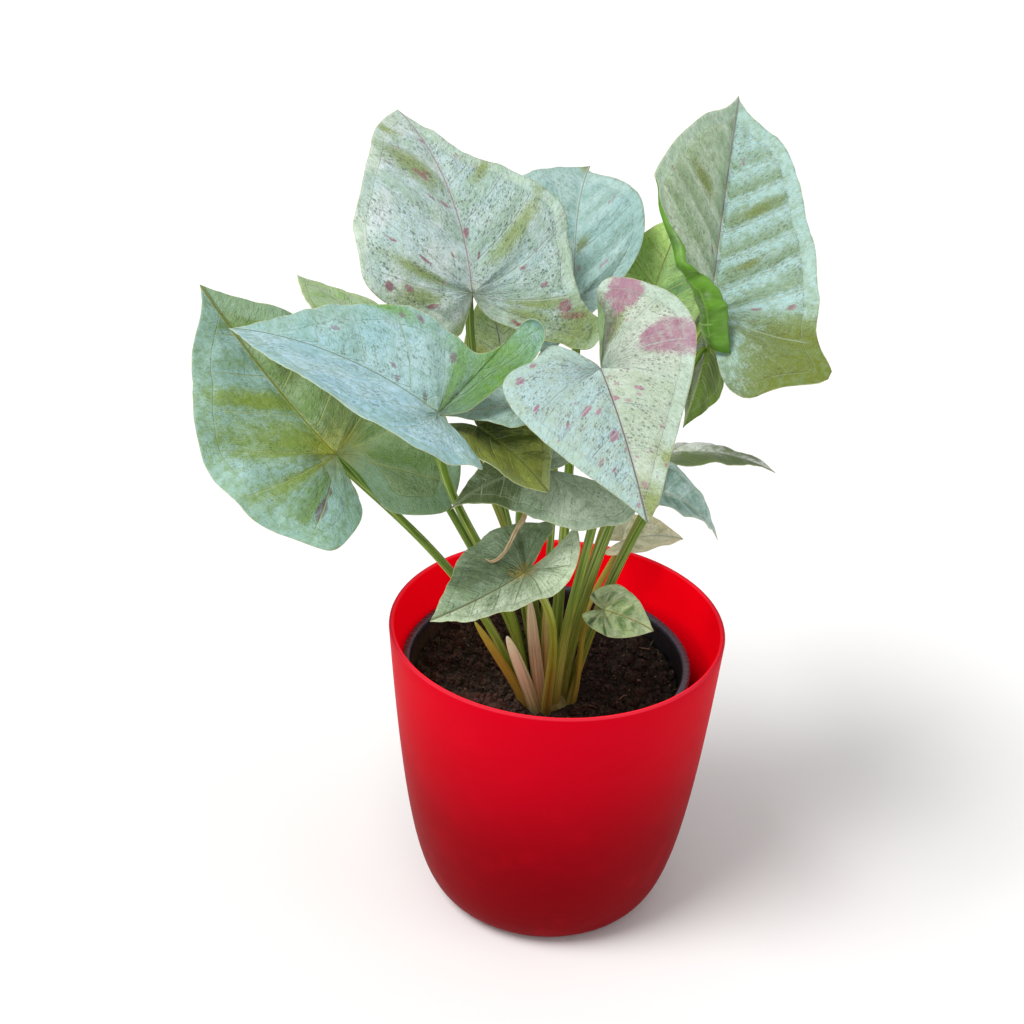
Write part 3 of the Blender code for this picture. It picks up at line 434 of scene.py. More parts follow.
STALKS = {
    "leaf_top_left": Stalk((-4, 3), (-10, -16, 173), (-44, 4, 239)),
    "leaf_top_middle": Stalk((2, 6), (-1, -11, 169), (5, 40, 228)),
    "leaf_mid_left": Stalk((-8, 1), (-13, -12, 173), (-54, -35, 211)),
    "leaf_left": Stalk((-9, -2), (-27, -21, 179), (-92, -10, 213)),
    "leaf_front": Stalk((3, -3), (-2, -27, 167), (27, -14, 233)),
    "leaf_top_right": Stalk((6, 2), (-5, -20, 139), (40, 16, 248)),
    "leaf_behind_front": Stalk((4, 6), (4, -10, 168), (44, 48, 226), 2.6, 1.3, yellow=0.4),
    "leaf_right": Stalk((9, 4), (10, -12, 148), (34, 32, 176), 2.4, 1.2, yellow=0.3),
    "leaf_right_low": Stalk((8, -2), (7, -22, 130), (29, 4, 189), 2.6, 1.2),
    "leaf_back_right": Stalk((7, 3), (5, -8, 146), (20, 56, 127), 2.2, 1.2, yellow=0.9),
    "leaf_under_front": Stalk((-3, -1), (-13, -20, 192), (-30, -24, 215), 2.6, 1.3),
    "leaf_under_left": Stalk((-5, 1), (-5, -18, 183), (-44, 6, 213), 2.4, 1.3, yellow=0.3),
    "leaf_low_front": Stalk((0, -6), (-6, -31, 131), (6, -54, 178), 2.6, 1.3, yellow=0.35),
    "leaf_small": Stalk((9, -2), (14, -23, 130), (5, -16, 161), 1.8, 1.0, yellow=0.5),
    "leaf_back_left": Stalk((-6, 6), (-16, -8, 168), (-84, 53, 200), 2.4, 1.3),
    "leaf_behind_right": Stalk((7, 0), (4, -14, 167), (40, 24, 240), 2.4, 1.3),
    "leaf_inner": Stalk((-2, 4), (-8, -12, 172), (-28, 10, 220), 2.2, 1.2),
    "leaf_tucked": Stalk((-6, -2), (-5, -16, 181), (-2, 16, 218), 2.2, 1.2),
}


@dataclass(frozen=True)
class Sheath:
    """A spent sheath that hugs the clump, with its width and how tan, pink and yellow it is."""
    foot: tuple
    low: tuple
    high: tuple
    tip: tuple
    width: float
    tan: float = 0.0
    pink: float = 0.0
    yellow: float = 0.0


SHEATHS = {
    "tan": Sheath((-6, -27, 106), (-11, -28, 124), (-17, -31, 140), (-22, -32, 154), 3.0, tan=1.0),
    "pink": Sheath((-4, -26, 106), (-8, -28, 130), (-11, -30, 152), (-13, -31, 172), 2.9, tan=0.25, pink=0.9),
    "pale": Sheath((-2, -25, 106), (-4, -27, 130), (-5, -27, 150), (-6, -26, 168), 2.6, pink=0.4, yellow=0.7),
    "old_stalk": Sheath((-10, -24, 106), (-14, -25, 122), (-26, -27, 140), (-36, -31, 160), 2.4, yellow=1.0),
}

STRAND_ROUTE = (
    (-17, -32.8, 221.4), (-16, -38, 217), (-20, -43.4, 212.5), (-22, -46.7, 209.1), (-24, -49.6, 206.1),
    (-26.6, -52.3, 203.8), (-29.6, -53.2, 202.6), (-32, -51.8, 203.4))


def tint(red, green, blue):
    """Linear colour from sRGB values of 0 to 255."""
    share = np.array([red, green, blue]) / 255
    linear = np.where(share <= 0.04045, share / 12.92, ((share + 0.055) / 1.055) ** 2.4)
    return tuple(float(v) for v in linear)


class Graph:
    """Short calls that build the nodes of one material."""

    def __init__(self, name):
        self.material = bpy.data.materials.new(name)
        self.material.use_nodes = True
        self.tree = self.material.node_tree

    def feed(self, socket, value):
        """Links an output to the socket, or sets the socket's own value."""
        if isinstance(value, bpy.types.NodeSocket):
            self.tree.links.new(value, socket)
        elif socket.type == "RGBA":
            socket.default_value = (*tint(*value), 1.0)
        else:
            socket.default_value = value

    def finish(self, **values):
        """Sets or links sockets of the Principled shader and returns the material."""
        for name, value in values.items():
            self.feed(self.tree.nodes["Principled BSDF"].inputs[name.replace("_", " ")], value)
        return self.material

    def node(self, kind, inputs, **settings):
        """Outputs of a new node with the given settings. Its inputs go by name or number."""
        node = self.tree.nodes.new("ShaderNode" + kind)
        for key, value in settings.items():
            setattr(node, key, value)
        for key, value in inputs.items():
            self.feed(node.inputs[key], value)
        return node.outputs

    def math(self, operation, *values):
        return self.node("Math", dict(enumerate(values)), operation=operation)[0]

    def times(self, *values):
        return reduce(lambda a, b: self.math("MULTIPLY", a, b), values)

    def plus(self, *values):
        return reduce(lambda a, b: self.math("ADD", a, b), values)

    def most(self, *values):
        return reduce(lambda a, b: self.math("MAXIMUM", a, b), values)

    def rest(self, value):
        """What the value leaves of 1."""
        return self.math("SUBTRACT", 1.0, value)

    def weighed(self, *pairs):
        """Sum of patterns, each with its weight."""
        return self.plus(*(self.times(*pair) for pair in pairs))

    def step(self, value, low, high):
        """Smooth change from 0 where the value is low to 1 where it is high."""
        inputs = {"Value": value, "From Min": low, "From Max": high}
        return self.node("MapRange", inputs, interpolation_type="SMOOTHSTEP")["Result"]

    def mix(self, amount, low, high):
        return self.node("Mix", {0: amount, 6: low, 7: high}, data_type="RGBA")[2]

    def coat(self, colour, *layers):
        """Lays colours over one another. Each layer has its colour and the amounts to multiply."""
        for layer, *amounts in layers:
            colour = self.mix(self.times(*amounts), colour, layer)
        return colour

    def stretch(self, vector, factors):
        return self.node("VectorMath", {0: vector, 1: factors}, operation="MULTIPLY")[0]

    def noise(self, vector, scale, detail=2.0, roughness=0.5):
        """Cloudy pattern. Its scale is one number, or one for each axis."""
        if isinstance(scale, tuple):
            vector, scale = self.stretch(vector, scale), 1.0
        inputs = {"Vector": vector, "Scale": scale, "Detail": detail, "Roughness": roughness}
        return self.node("TexNoise", inputs)["Fac"]

    def cells(self, vector, scale, feature="F1"):
        return self.node("TexVoronoi", {"Vector": vector, "Scale": scale}, feature=feature)

    def dots(self, vector, scale, radius, share):
        """Small spots in some of the cells of a pattern. The radius is a share of a cell's width."""
        cell = self.cells(vector, scale)
        chance, size, _ = self.parts(cell["Color"])
        reach = self.times(self.plus(size, 0.35), radius)
        spot = self.step(cell["Distance"], reach, self.times(reach, 0.5))
        return self.times(spot, self.math("LESS_THAN", chance, share))

    def luck(self, value):
        """One random number from 0 to 1 for each whole value."""
        return self.node("TexWhiteNoise", {"W": value}, noise_dimensions="1D")["Value"]

    def attribute(self, name):
        return self.node("Attribute", {}, attribute_name=name)["Vector"]

    def place(self):
        """The surface point in millimetres."""
        return self.stretch(self.node("TexCoord", {})["Object"], (1 / MM, 1 / MM, 1 / MM))

    def parts(self, vector):
        return self.node("SeparateXYZ", {0: vector})

    def bump(self, height, depth):
        """Normal of a relief whose height of 0 to 1 stands for depth in millimetres."""
        return self.node("Bump", {"Strength": 1.0, "Distance": depth * MM, "Height": height})[0]


def vein_masks(g, look):
    """Where a point lies on its blade, and masks of 0 to 1 of the veins and of the part inside them."""
    v = SimpleNamespace()
    v.count, per_count, v.edge = g.parts(g.attribute("vein"))
    v.ahead, v.sideways, _ = g.parts(g.attribute("flat"))
    v.fraction = g.math("FRACT", v.count)
    near = g.times(g.math("MINIMUM", v.fraction, g.rest(v.fraction)), per_count)
    v.inside = g.step(v.edge, look.band - 1.4, look.band + 1.0)
    v.lateral = g.times(g.step(near, 0.5, 0.1), g.step(v.edge, 0.6 * look.band, look.band))
    quarter = g.math("FRACT", g.plus(g.times(v.count, 4.0), 0.5))
    fine = g.times(g.math("ABSOLUTE", g.math("SUBTRACT", quarter, 0.5)), per_count, 0.25)
    v.fine = g.times(g.step(fine, 0.3, 0.05), v.inside)
    v.margin = g.step(g.math("ABSOLUTE", g.math("SUBTRACT", v.edge, look.band)), 0.4, 0.1)
    beside, forward = g.math("ABSOLUTE", v.sideways), g.step(v.ahead, -0.5, 0.5)
    v.rib = g.times(g.step(beside, 1.0, 0.3), forward)
    v.groove = g.times(g.step(beside, 0.26, 0.08), forward)
    return v


def leaf_patterns(g):
    """Patterns that the colours and the fine relief of a blade share."""
    p = SimpleNamespace(grain=g.attribute("grain"), flat=g.attribute("flat"))
    p.cloud = g.noise(p.flat, 0.06)
    p.mottle = g.noise(p.flat, 0.3, 3.0)
    p.streak = g.noise(p.grain, (0.9, 0.22, 1.0), 3.0, 0.65)
    p.grit = g.noise(p.grain, (2.2, 1.5, 1.0), 2.0, 0.6)
    p.crinkle = g.noise(p.grain, (0.55, 0.34, 1.0), 4.0, 0.6)
    p.ragged = g.plus(g.weighed((p.streak, 0.9), (p.mottle, 1.0), (p.grit, 1.1)), -1.5)
    meshes = g.cells(g.stretch(p.grain, (0.42, 0.30, 1.0)), 1.0, "DISTANCE_TO_EDGE")
    p.net = g.step(meshes["Distance"], 0.07, 0.01)
    return p


def leaf_ground(g, look, v, p, seed):
    """Mint ground, a tint of the right half that is painted shade on leaf_left, green flames between the
    veins that are partly painted shade on the heart side of each pleat, and the margin's colour.
    """
    _, along, _ = g.parts(p.grain)
    panel = g.plus(g.math("FLOOR", v.count), g.times(g.math("GREATER_THAN", along, 0.0), 17.0), seed)
    # The flames start at each lateral vein and fade towards the next: partly the leaf's own green, partly
    # painted shade on the heart side of each pleat
    falling = g.times(g.math("POWER", g.rest(v.fraction), 1.2), g.step(v.fraction, 0.0, 0.22), 1.3)
    flame_and_pleat_shade = g.times(falling, g.step(g.luck(panel), -0.3, 0.7), v.inside)
    worn = g.step(g.plus(g.weighed((p.ragged, 1.4), (p.cloud, 2.0)), -1.0), -0.5, 0.4)
    return g.coat(
        g.mix(g.step(p.cloud, 0.38, 0.62), look.mint, look.pale),
        # Tint of the right half: the leaf's own tone on most blades, painted shade on leaf_left
        (look.right, g.step(g.plus(v.sideways, g.times(p.ragged, 2.0)), 0.3, -0.3), look.right_share),
        (look.green, g.step(g.plus(flame_and_pleat_shade, g.times(p.ragged, 0.5)), 0.0, 1.0), look.flame_and_pleat_shade),
        (look.edge, g.rest(v.inside), look.margin, g.plus(0.45, g.times(worn, 0.55))))


def torn(g, mark, ragged, tear, low, high, fade):
    """A mark whose outline the ragged pattern tears. It ends where its strength falls through the fade."""
    return g.times(g.step(g.plus(mark, g.times(ragged, tear)), low, high), g.step(mark, *fade))


def leaf_specks(g, v, p):
    """Speckles of three sizes over a fine haze, thinner in the margin and in some patches."""
    fine_dots = g.dots(g.stretch(p.grain, (1.0, 0.75, 1.0)), 1.0, 0.5, 0.7)
    drawn = g.stretch(p.grain, (1.0, 0.7, 1.0))
    specks = g.most(g.times(fine_dots, 0.6), g.times(g.dots(drawn, 0.5, 0.28, 0.6), 0.7),
                    g.times(g.dots(drawn, 0.2, 0.14, 0.45), 0.7), g.times(g.step(p.grit, 0.46, 0.7), 0.4))
    patchy = g.step(g.noise(p.flat, 0.1), 0.25, 0.6)
    return g.times(specks, g.plus(0.5, g.times(v.inside, 0.5)), patchy)


def leaf_material(name, look, seed):
    """Upper side of a blade: mint ground, green flames between the veins (partly painted pleat shade), marks
    (some shade marks are painted shade), painted highlight and shade on the crinkles, speckles and pale
    veins.
    """
    g = Graph(name)
    v, p = vein_masks(g, look), leaf_patterns(g)
    pinks, olives, shades = g.parts(g.attribute("marks"))
    olived = torn(g, olives, p.ragged, 0.65, 0.0, 1.0, (0.02, 0.3))
    shaded = torn(g, shades, p.ragged, 0.7, 0.1, 0.8, (0.02, 0.25))
    blotch = torn(g, pinks, p.ragged, 0.45, 0.3, 0.62, (0.05, 0.25))
    blush = g.times(g.dots(g.stretch(p.grain, (0.30, 0.16, 1.0)), 1.0, 0.24, 0.4), look.blush)
    bare = g.rest(g.times(g.most(olived, shaded), 0.8))
    centre = g.math("SQRT", g.plus(g.times(v.ahead, v.ahead), g.times(v.sideways, v.sideways)))
    glow = g.times(g.step(g.plus(centre, g.times(p.ragged, 12.0)), look.glow_reach, 0.0), look.glow)
    specks = g.times(leaf_specks(g, v, p), look.speckle)
    lines = g.most(g.times(v.lateral, 0.55), g.times(v.fine, 0.16), g.times(p.net, v.inside, 0.08),
                   g.times(v.margin, 0.22))
    colour = g.coat(
        leaf_ground(g, look, v, p, seed),
        (look.olive, olived, 0.9),
        # Shade marks: the blade's own dark patches, and painted shade on some blades
        (look.shade, shaded, 0.9),
        (look.green, g.step(p.mottle, 0.42, 0.66), 0.35),
        # Painted highlight on the ridges of the crinkles, then painted shade in their hollows; the same
        # pattern raises the relief
        (look.pale, g.step(p.crinkle, 0.5, 0.68), bare, look.crinkle_highlight_and_shade),
        (g.mix(0.5, look.green, look.speck), g.step(p.crinkle, 0.44, 0.28), 0.85 * look.crinkle_highlight_and_shade),
        (look.heart, glow, glow, 0.85),
        (look.speck, specks),
        (look.pink, g.most(blotch, blush), g.plus(0.55, g.times(g.step(p.mottle, 0.3, 0.6), 0.3))),
        (look.speck, specks, 0.35),
        (g.mix(glow, look.vein, look.heart), lines),
        (g.mix(glow, look.rib, look.heart), v.rib, 0.7),
        (look.line, v.groove, 0.45),
        (BLADE_RIM_COLOUR, g.step(v.edge, 0.5, 0.1), 0.6))
    height = g.weighed((v.lateral, -0.4), (v.fine, -0.2), (p.net, -0.2), (v.groove, -0.8), (v.margin, -0.4),
                       (p.streak, 0.5), (p.grit, 0.3), (p.mottle, 0.5), (p.crinkle, 2.4))
    return g.finish(Base_Color=colour, Roughness=BLADE_ROUGHNESS, Normal=g.bump(height, 0.5),
                    Specular_IOR_Level=0.35)


def underside_material(name, look):
    """Underside of a blade: smooth bright green with raised paler veins."""
    g = Graph(name)
    v, grain = vein_masks(g, look), g.attribute("grain")
    streak = g.noise(grain, (0.9, 0.2, 1.0), 3.0, 0.6)
    deep = tuple(value * 0.72 for value in look.under)
    light = tuple(0.7 * value + 66 for value in look.under)
    colour = g.coat(
        g.mix(g.step(g.noise(grain, 0.08), 0.35, 0.65), look.under, deep),
        (light, g.step(streak, 0.4, 0.75), 0.35),
        (light, g.most(g.times(v.lateral, 0.7), g.times(v.fine, 0.25), g.times(v.margin, 0.4), v.rib)))
    height = g.weighed((v.lateral, 0.8), (v.rib, 1.0), (v.fine, 0.3), (streak, 0.3))
    return g.finish(Base_Color=colour, Roughness=0.42, Normal=g.bump(height, 0.3),
                    Subsurface_Weight=0.12, Subsurface_Scale=0.0006)


def cubic(start, pull_a, pull_b, end, share):
    """Points of a cubic curve at the given shares of its run."""
    u = np.asarray(share, float)[:, None]
    a, b, c, d = (np.asarray(p, float) for p in (start, pull_a, pull_b, end))
    return (1 - u) ** 3 * a + 3 * u * (1 - u) ** 2 * b + 3 * u * u * (1 - u) * c + u ** 3 * d


def unit(v):
    return v / np.linalg.norm(v)


def smooth(value, low, high):
    """Smooth rise from 0 where the value is low to 1 where it is high."""
    u = np.clip((value - low) / (high - low), 0, 1)
    return u * u * (3 - 2 * u)


def blade_frame(leaf):
    """Heart, forward, left and up directions of a blade, and its midrib's length along the arch."""
    heart, tip = np.array(leaf.heart, float), np.array(leaf.tip, float)
    forward = unit(tip - heart)
    up = np.array([0.0, 0.0, 1.0])
    up = unit(up - (up @ forward) * forward)
    left = np.cross(up, forward)
    turn = radians(leaf.roll)
    up, left = up * cos(turn) + left * sin(turn), left * cos(turn) - up * sin(turn)
    bend = radians(leaf.arch) / 2
    length = np.linalg.norm(tip - heart) * bend / sin(bend)
    return heart, forward, left, up, length


def half_outline(leaf, side, length, rays):
    """Flat outline of one half from the tip round the lobe towards the heart, as (forward, across) points."""
    half, lobe = leaf.half[side], leaf.lobe[side]
    angle = radians(leaf.splay[side])
    tip = np.array([length, 0.0])
    wide = np.array([leaf.widest[side] * length, half])
    lobe_end = lobe * np.array([-cos(angle), sin(angle)])
    outward = LOBE_ROUNDNESS * lobe * np.array([sin(angle), cos(angle)])
    from_tip = (-TIP_PULL * length, leaf.blunt[side] * half)
    to_full = (leaf.full[side] * length, 0.06 * half)
    from_wide = (LOBE_PULL * (wide[0] - lobe_end[0]), 0.03 * half)
    curves = ((tip, tip + from_tip, wide + to_full, wide),
              (wide, wide - from_wide, lobe_end + outward, lobe_end),
              (lobe_end, lobe_end - 0.9 * outward, (-0.28 * lobe, 0.05 * lobe), (0, 0)))
    parts = [cubic(*curve, np.linspace(0, 1, steps)) for curve, steps in zip(curves, OUTLINE_STEPS)]
    points = np.vstack([parts[0], parts[1][1:], parts[2][1:]])
    run = np.r_[0, np.cumsum(np.linalg.norm(np.diff(points, axis=0), axis=1))]
    way = np.gradient(points, axis=0)
    way /= np.linalg.norm(way, axis=1)[:, None]
    outward = np.stack([way[:, 1], -way[:, 0]], axis=-1)
    for place, out in zip(SWELL_PLACES, leaf.swell[side]):
        points += (out * np.exp(-((run / run[-1] - place) / SWELL_REACH) ** 2))[:, None] * outward
    points[:, 1] = np.clip(points[:, 1], 0, None)
    at = np.linspace(0, run[-1], rays + 1)[:-1]
    return np.stack([np.interp(at, run, points[:, k]) for k in (0, 1)], axis=-1)


def vein_frame(look, length, s, t):
    """Where flat points lie among the lateral veins: count, mm per count, and mm across and along them."""
    angle, fan = radians(look.angle), radians(look.fan)
    spacing = length / look.laterals
    swept = s - VEIN_SWEEP * t * t / length
    ahead = swept - t / tan(angle)
    bearing = np.arctan2(t, swept)
    reach = np.hypot(swept, t)
    basal = ahead < 0
    count = np.where(basal, (angle - bearing) / fan, ahead / spacing)
    per_count = np.where(basal, reach * fan, spacing * sin(angle))
    across = np.where(basal, (angle - bearing) * FAN_REACH, ahead * sin(angle))
    along = np.where(basal, reach, t / sin(angle))
    return count, per_count, across, along


def relief(look, seed, vein, grain, s, t):
    """Height in mm that puffs the blade between its veins, wrinkles it and ripples its edge."""
    count, per_count, edge = (vein[..., k] for k in range(3))
    luck = 0.75 + 0.35 * np.sin(2.4 * np.floor(count) + seed)
    puff = PUFF_HEIGHT * look.pleat * luck * (0.5 - 0.5 * np.cos(2 * pi * count)) ** 0.7
    puff *= smooth(edge, 0.5 * look.band, look.band + 4) * smooth(t, 0.5, 6) * smooth(per_count, 2, 10)
    places = (grain * WRINKLE_SCALES).reshape(-1, 3)
    folds = np.array([turbulence.fractal(Vector(p), 0.8, 2.0, 3) for p in places.tolist()])
    wrinkle = look.wrinkle * folds.reshape(s.shape) * smooth(t, 0, 5)
    ripple = 0.3 * np.sin(0.26 * s + 0.16 * t + seed) + 0.12 * np.sin(0.6 * s - 0.3 * t + 2 * seed)
    seam = -SEAM_DEPTH * np.exp(-((edge - look.band) / 0.9) ** 2) * smooth(t, 1, 6)
    return puff + wrinkle + seam + ripple * np.exp(-edge / 6) * smooth(t, 0.5, 6)


def arc(distance, start_angle, turn_per_length):
    """Where a path ends up, along and above, when it starts at an angle and turns evenly."""
    angle = start_angle + turn_per_length * distance
    if abs(turn_per_length) < 1e-9:
        return distance * np.cos(angle), distance * np.sin(angle), angle
    along = (np.sin(angle) - sin(start_angle)) / turn_per_length
    above = (cos(start_angle) - np.cos(angle)) / turn_per_length
    return along, above, angle


def bend_half(leaf, side, frame_of_blade, s, t, extra):
    """Flat points of one half, s forward of the heart and t across, carried onto the bent blade."""
    heart, forward, left, up, length = frame_of_blade
    arch, half = radians(leaf.arch), leaf.half[side]
    front_x, front_z, front_angle = arc(np.clip(s, 0, None), arch / 2, -arch / length)
    lobe_turn = -radians(leaf.droop[side]) / leaf.lobe[side]
    back_x, back_z, back_angle = arc(np.clip(-s, 0, None), -arch / 2, lobe_turn)
    slope = np.where(s < 0, -back_angle, front_angle)
    across, rise, _ = arc(t, radians(leaf.fold[side]), radians(leaf.cup[side]) / half)
    ripple = 2 * pi * leaf.waves * s / length + leaf.phase + 2.1 * side
    rise = rise + leaf.wave * np.sin(ripple) * np.clip(t / half, 0, 1.2) ** 2 + extra
    x = np.where(s < 0, -back_x, front_x) - np.sin(slope) * rise
    z = np.where(s < 0, back_z, front_z) + np.cos(slope) * rise
    return heart + x[..., None] * forward + (SIGNS[side] * across)[..., None] * left + z[..., None] * up


def roll_edge(grid, rim, ring_share, curl):
    """Rolls a stretch of the edge of a half's grid [ray, ring, xyz] up and over."""
    rays = grid.shape[0]
    share = np.arange(rays) / rays
    middle, reach = (curl.start + curl.end) / 2, (curl.end - curl.start) / 2
    strength = np.clip(1 - ((share - middle) / reach) ** 2, 0, 1) ** 0.5
    out = grid.copy()
    for i in np.nonzero(strength > 0.05)[0]:
        hinge_share = max(0.3, 1 - curl.width / rim[i])
        hinge = np.array([np.interp(hinge_share, ring_share, grid[i, :, k]) for k in range(3)])
        axis = -SIGNS[curl.side] * unit(grid[min(i + 1, rays - 1), -1] - grid[max(i - 1, 0), -1])
        for j in np.nonzero(ring_share > hinge_share)[0]:
            turn = radians(curl.turn) * strength[i] * (ring_share[j] - hinge_share) / (1 - hinge_share)
            arm = grid[i, j] - hinge
            spun = arm * cos(turn / 2) + np.cross(axis, arm) * sin(turn / 2)
            out[i, j] = hinge + spun * np.sinc(turn / 2 / pi)
    return out


def mark_strength(look, leaf, length, side, marks, across, along):
    """How strongly a list of marks covers the points of one half, 0 to 1."""
    total = np.zeros_like(across)
    for ahead_share, across_share, long_half, wide_half in marks:
        if across_share * SIGNS[side] < 0:
            continue
        at_s = np.array(ahead_share * length)
        at_t = np.array(abs(across_share) * leaf.half[side])
        _, _, mid_across, mid_along = vein_frame(look, length, at_s, at_t)
        away = ((along - mid_along) / long_half) ** 2 + ((across - mid_across) / wide_half) ** 2
        total = np.maximum(total, np.exp(-0.7 * away))
    return total


def blade_half(leaf, look, seed, side, rays, ring_share):
    """Upper face of one half as arrays [ray, ring, 3]: points, flat, vein, grain and marks."""
    blade = blade_frame(leaf)
    length = blade[4]
    edge_line = half_outline(leaf, side, length, rays)
    flat = edge_line[:, None, :] * ring_share[None, :, None]
    s, t = flat[..., 0], flat[..., 1]
    gaps = flat.reshape(-1, 1, 2) - half_outline(leaf, side, length, RIM_SAMPLES)[None, :, :]
    edge = np.sqrt((gaps ** 2).sum(-1).min(-1)).reshape(s.shape)
    count, per_count, across, along = vein_frame(look, length, s, t)
    if side == 1:
        count = count + 0.4 * smooth(t, 0.2, 2.5)
    vein = np.stack([count, per_count, edge], axis=-1)
    apart = BLADE_SHIFT * seed + HALF_SHIFT * side
    grain = np.stack([across, along, np.full_like(s, apart)], axis=-1)
    points = bend_half(leaf, side, blade, s, t, relief(look, seed, vein, grain, s, t))
    for curl in leaf.curls:
        if curl.side == side:
            points = roll_edge(points, np.linalg.norm(edge_line, axis=1), ring_share, curl)
    marks = [mark_strength(look, leaf, length, side, kind, across, along)
             for kind in (look.pinks, look.olives, look.shades)]
    return {
        "points": points,
        "flat": np.stack([s, SIGNS[side] * t, np.full_like(s, BLADE_SHIFT * seed)], axis=-1),
        "vein": vein,
        "grain": grain * (1, SIGNS[side], 1),
        "marks": np.stack(marks, axis=-1),
    }


def blade_faces(rays, rings):
    """Faces of a blade's upper side and the loop of its edge. Vertex 0 is the heart, then the midrib."""
    def index(side, ray, ring):
        if ring == 0:
            return 0
        if ray == 0:
            return ring
        return rings + side * (rays - 1) * rings + (ray - 1) * rings + ring

    faces = []
    for side in (0, 1):
        for ray in range(rays - 1):
            for ring in range(rings):
                a, b = index(side, ray, ring), index(side, ray, ring + 1)
                c, d = index(side, ray + 1, ring + 1), index(side, ray + 1, ring)
                face = (a, b, c) if ring == 0 else (a, b, c, d)
                faces.append(face if side == 0 else face[::-1])
    loop = [index(0, ray, rings) for ray in range(rays)]
    loop += [index(0, rays - 1, ring) for ring in range(rings - 1, -1, -1)]
    loop += [index(1, rays - 1, ring) for ring in range(1, rings + 1)]
    loop += [index(1, ray, rings) for ray in range(rays - 2, 0, -1)]
    return faces, loop


def vertex_normals(points, faces):
    """Normals at the points of a mesh of triangles and quads."""
    normals = np.zeros_like(points)
    for corners in (3, 4):
        group = np.array([face for face in faces if len(face) == corners])
        a, b, c, last = (points[group[:, k]] for k in (0, 1, 2, corners - 1))
        for k in range(corners):
            np.add.at(normals, group[:, k], np.cross(c - a, last - b))
    return normals / np.linalg.norm(normals, axis=1)[:, None]


def add_mesh(name, points, faces, materials, attributes=None, slots=None):
    """Object from points in millimetres, with smooth shading, per-point vectors and material slots."""
    mesh = bpy.data.meshes.new(name)
    mesh.from_pydata((np.asarray(points) * MM).tolist(), [], faces)
    mesh.shade_smooth()
    for finish in materials:
        mesh.materials.append(finish)
    for key, values in (attributes or {}).items():
        layer = mesh.attributes.new(key, "FLOAT_VECTOR", "POINT")
        layer.data.foreach_set("vector", np.asarray(values, np.float32).ravel())
    if slots is not None:
        mesh.polygons.foreach_set("material_index", np.asarray(slots, np.int32))
    mesh.update()
    obj = bpy.data.objects.new(name, mesh)
    bpy.context.scene.collection.objects.link(obj)
    return obj


def stand_in(obj, node=None):
    """Lets a piece ride on the part and replace a node, if it stands for one."""
    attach(obj, "root")
    if node:
        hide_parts(node)


def make_leaf(name, seed):
    """One blade: its upper face, the same face again one thickness below, and the rim between them."""
    leaf, look = LEAVES[name], LOOKS[name]
    rays, rings = BIG_BLADE_GRID if max(leaf.half) > BIG_BLADE_HALF else SMALL_BLADE_GRID
    ring_share = np.linspace(0, 1, rings + 1) ** 0.9
    left, right = (blade_half(leaf, look, seed, side, rays, ring_share) for side in (0, 1))
    joined = {key: np.vstack([left[key][0], *left[key][1:, 1:], *right[key][1:, 1:]]) for key in left}
    top = joined.pop("points")
    faces, loop = blade_faces(rays, rings)
    thickness = BLADE_THICKNESS * (RIM_SHARE + (1 - RIM_SHARE) * smooth(joined["vein"][:, 2], 0, 2.5))
    points = np.vstack([top, top - thickness[:, None] * vertex_normals(top, faces)])
    under = len(top)
    all_faces = faces + [tuple(v + under for v in face[::-1]) for face in faces]
    all_faces += [(a, a + under, b + under, b) for a, b in zip(loop, loop[1:] + loop[:1])]
    slots = [0] * len(faces) + [1] * len(faces) + [0] * len(loop)
    attributes = {key: np.vstack([values, values]) for key, values in joined.items()}
    finishes = [leaf_material(name + "_upper", look, float(seed)), underside_material(name + "_under", look)]
    stand_in(add_mesh("fine_" + name, points, all_faces, finishes, attributes, slots), name)


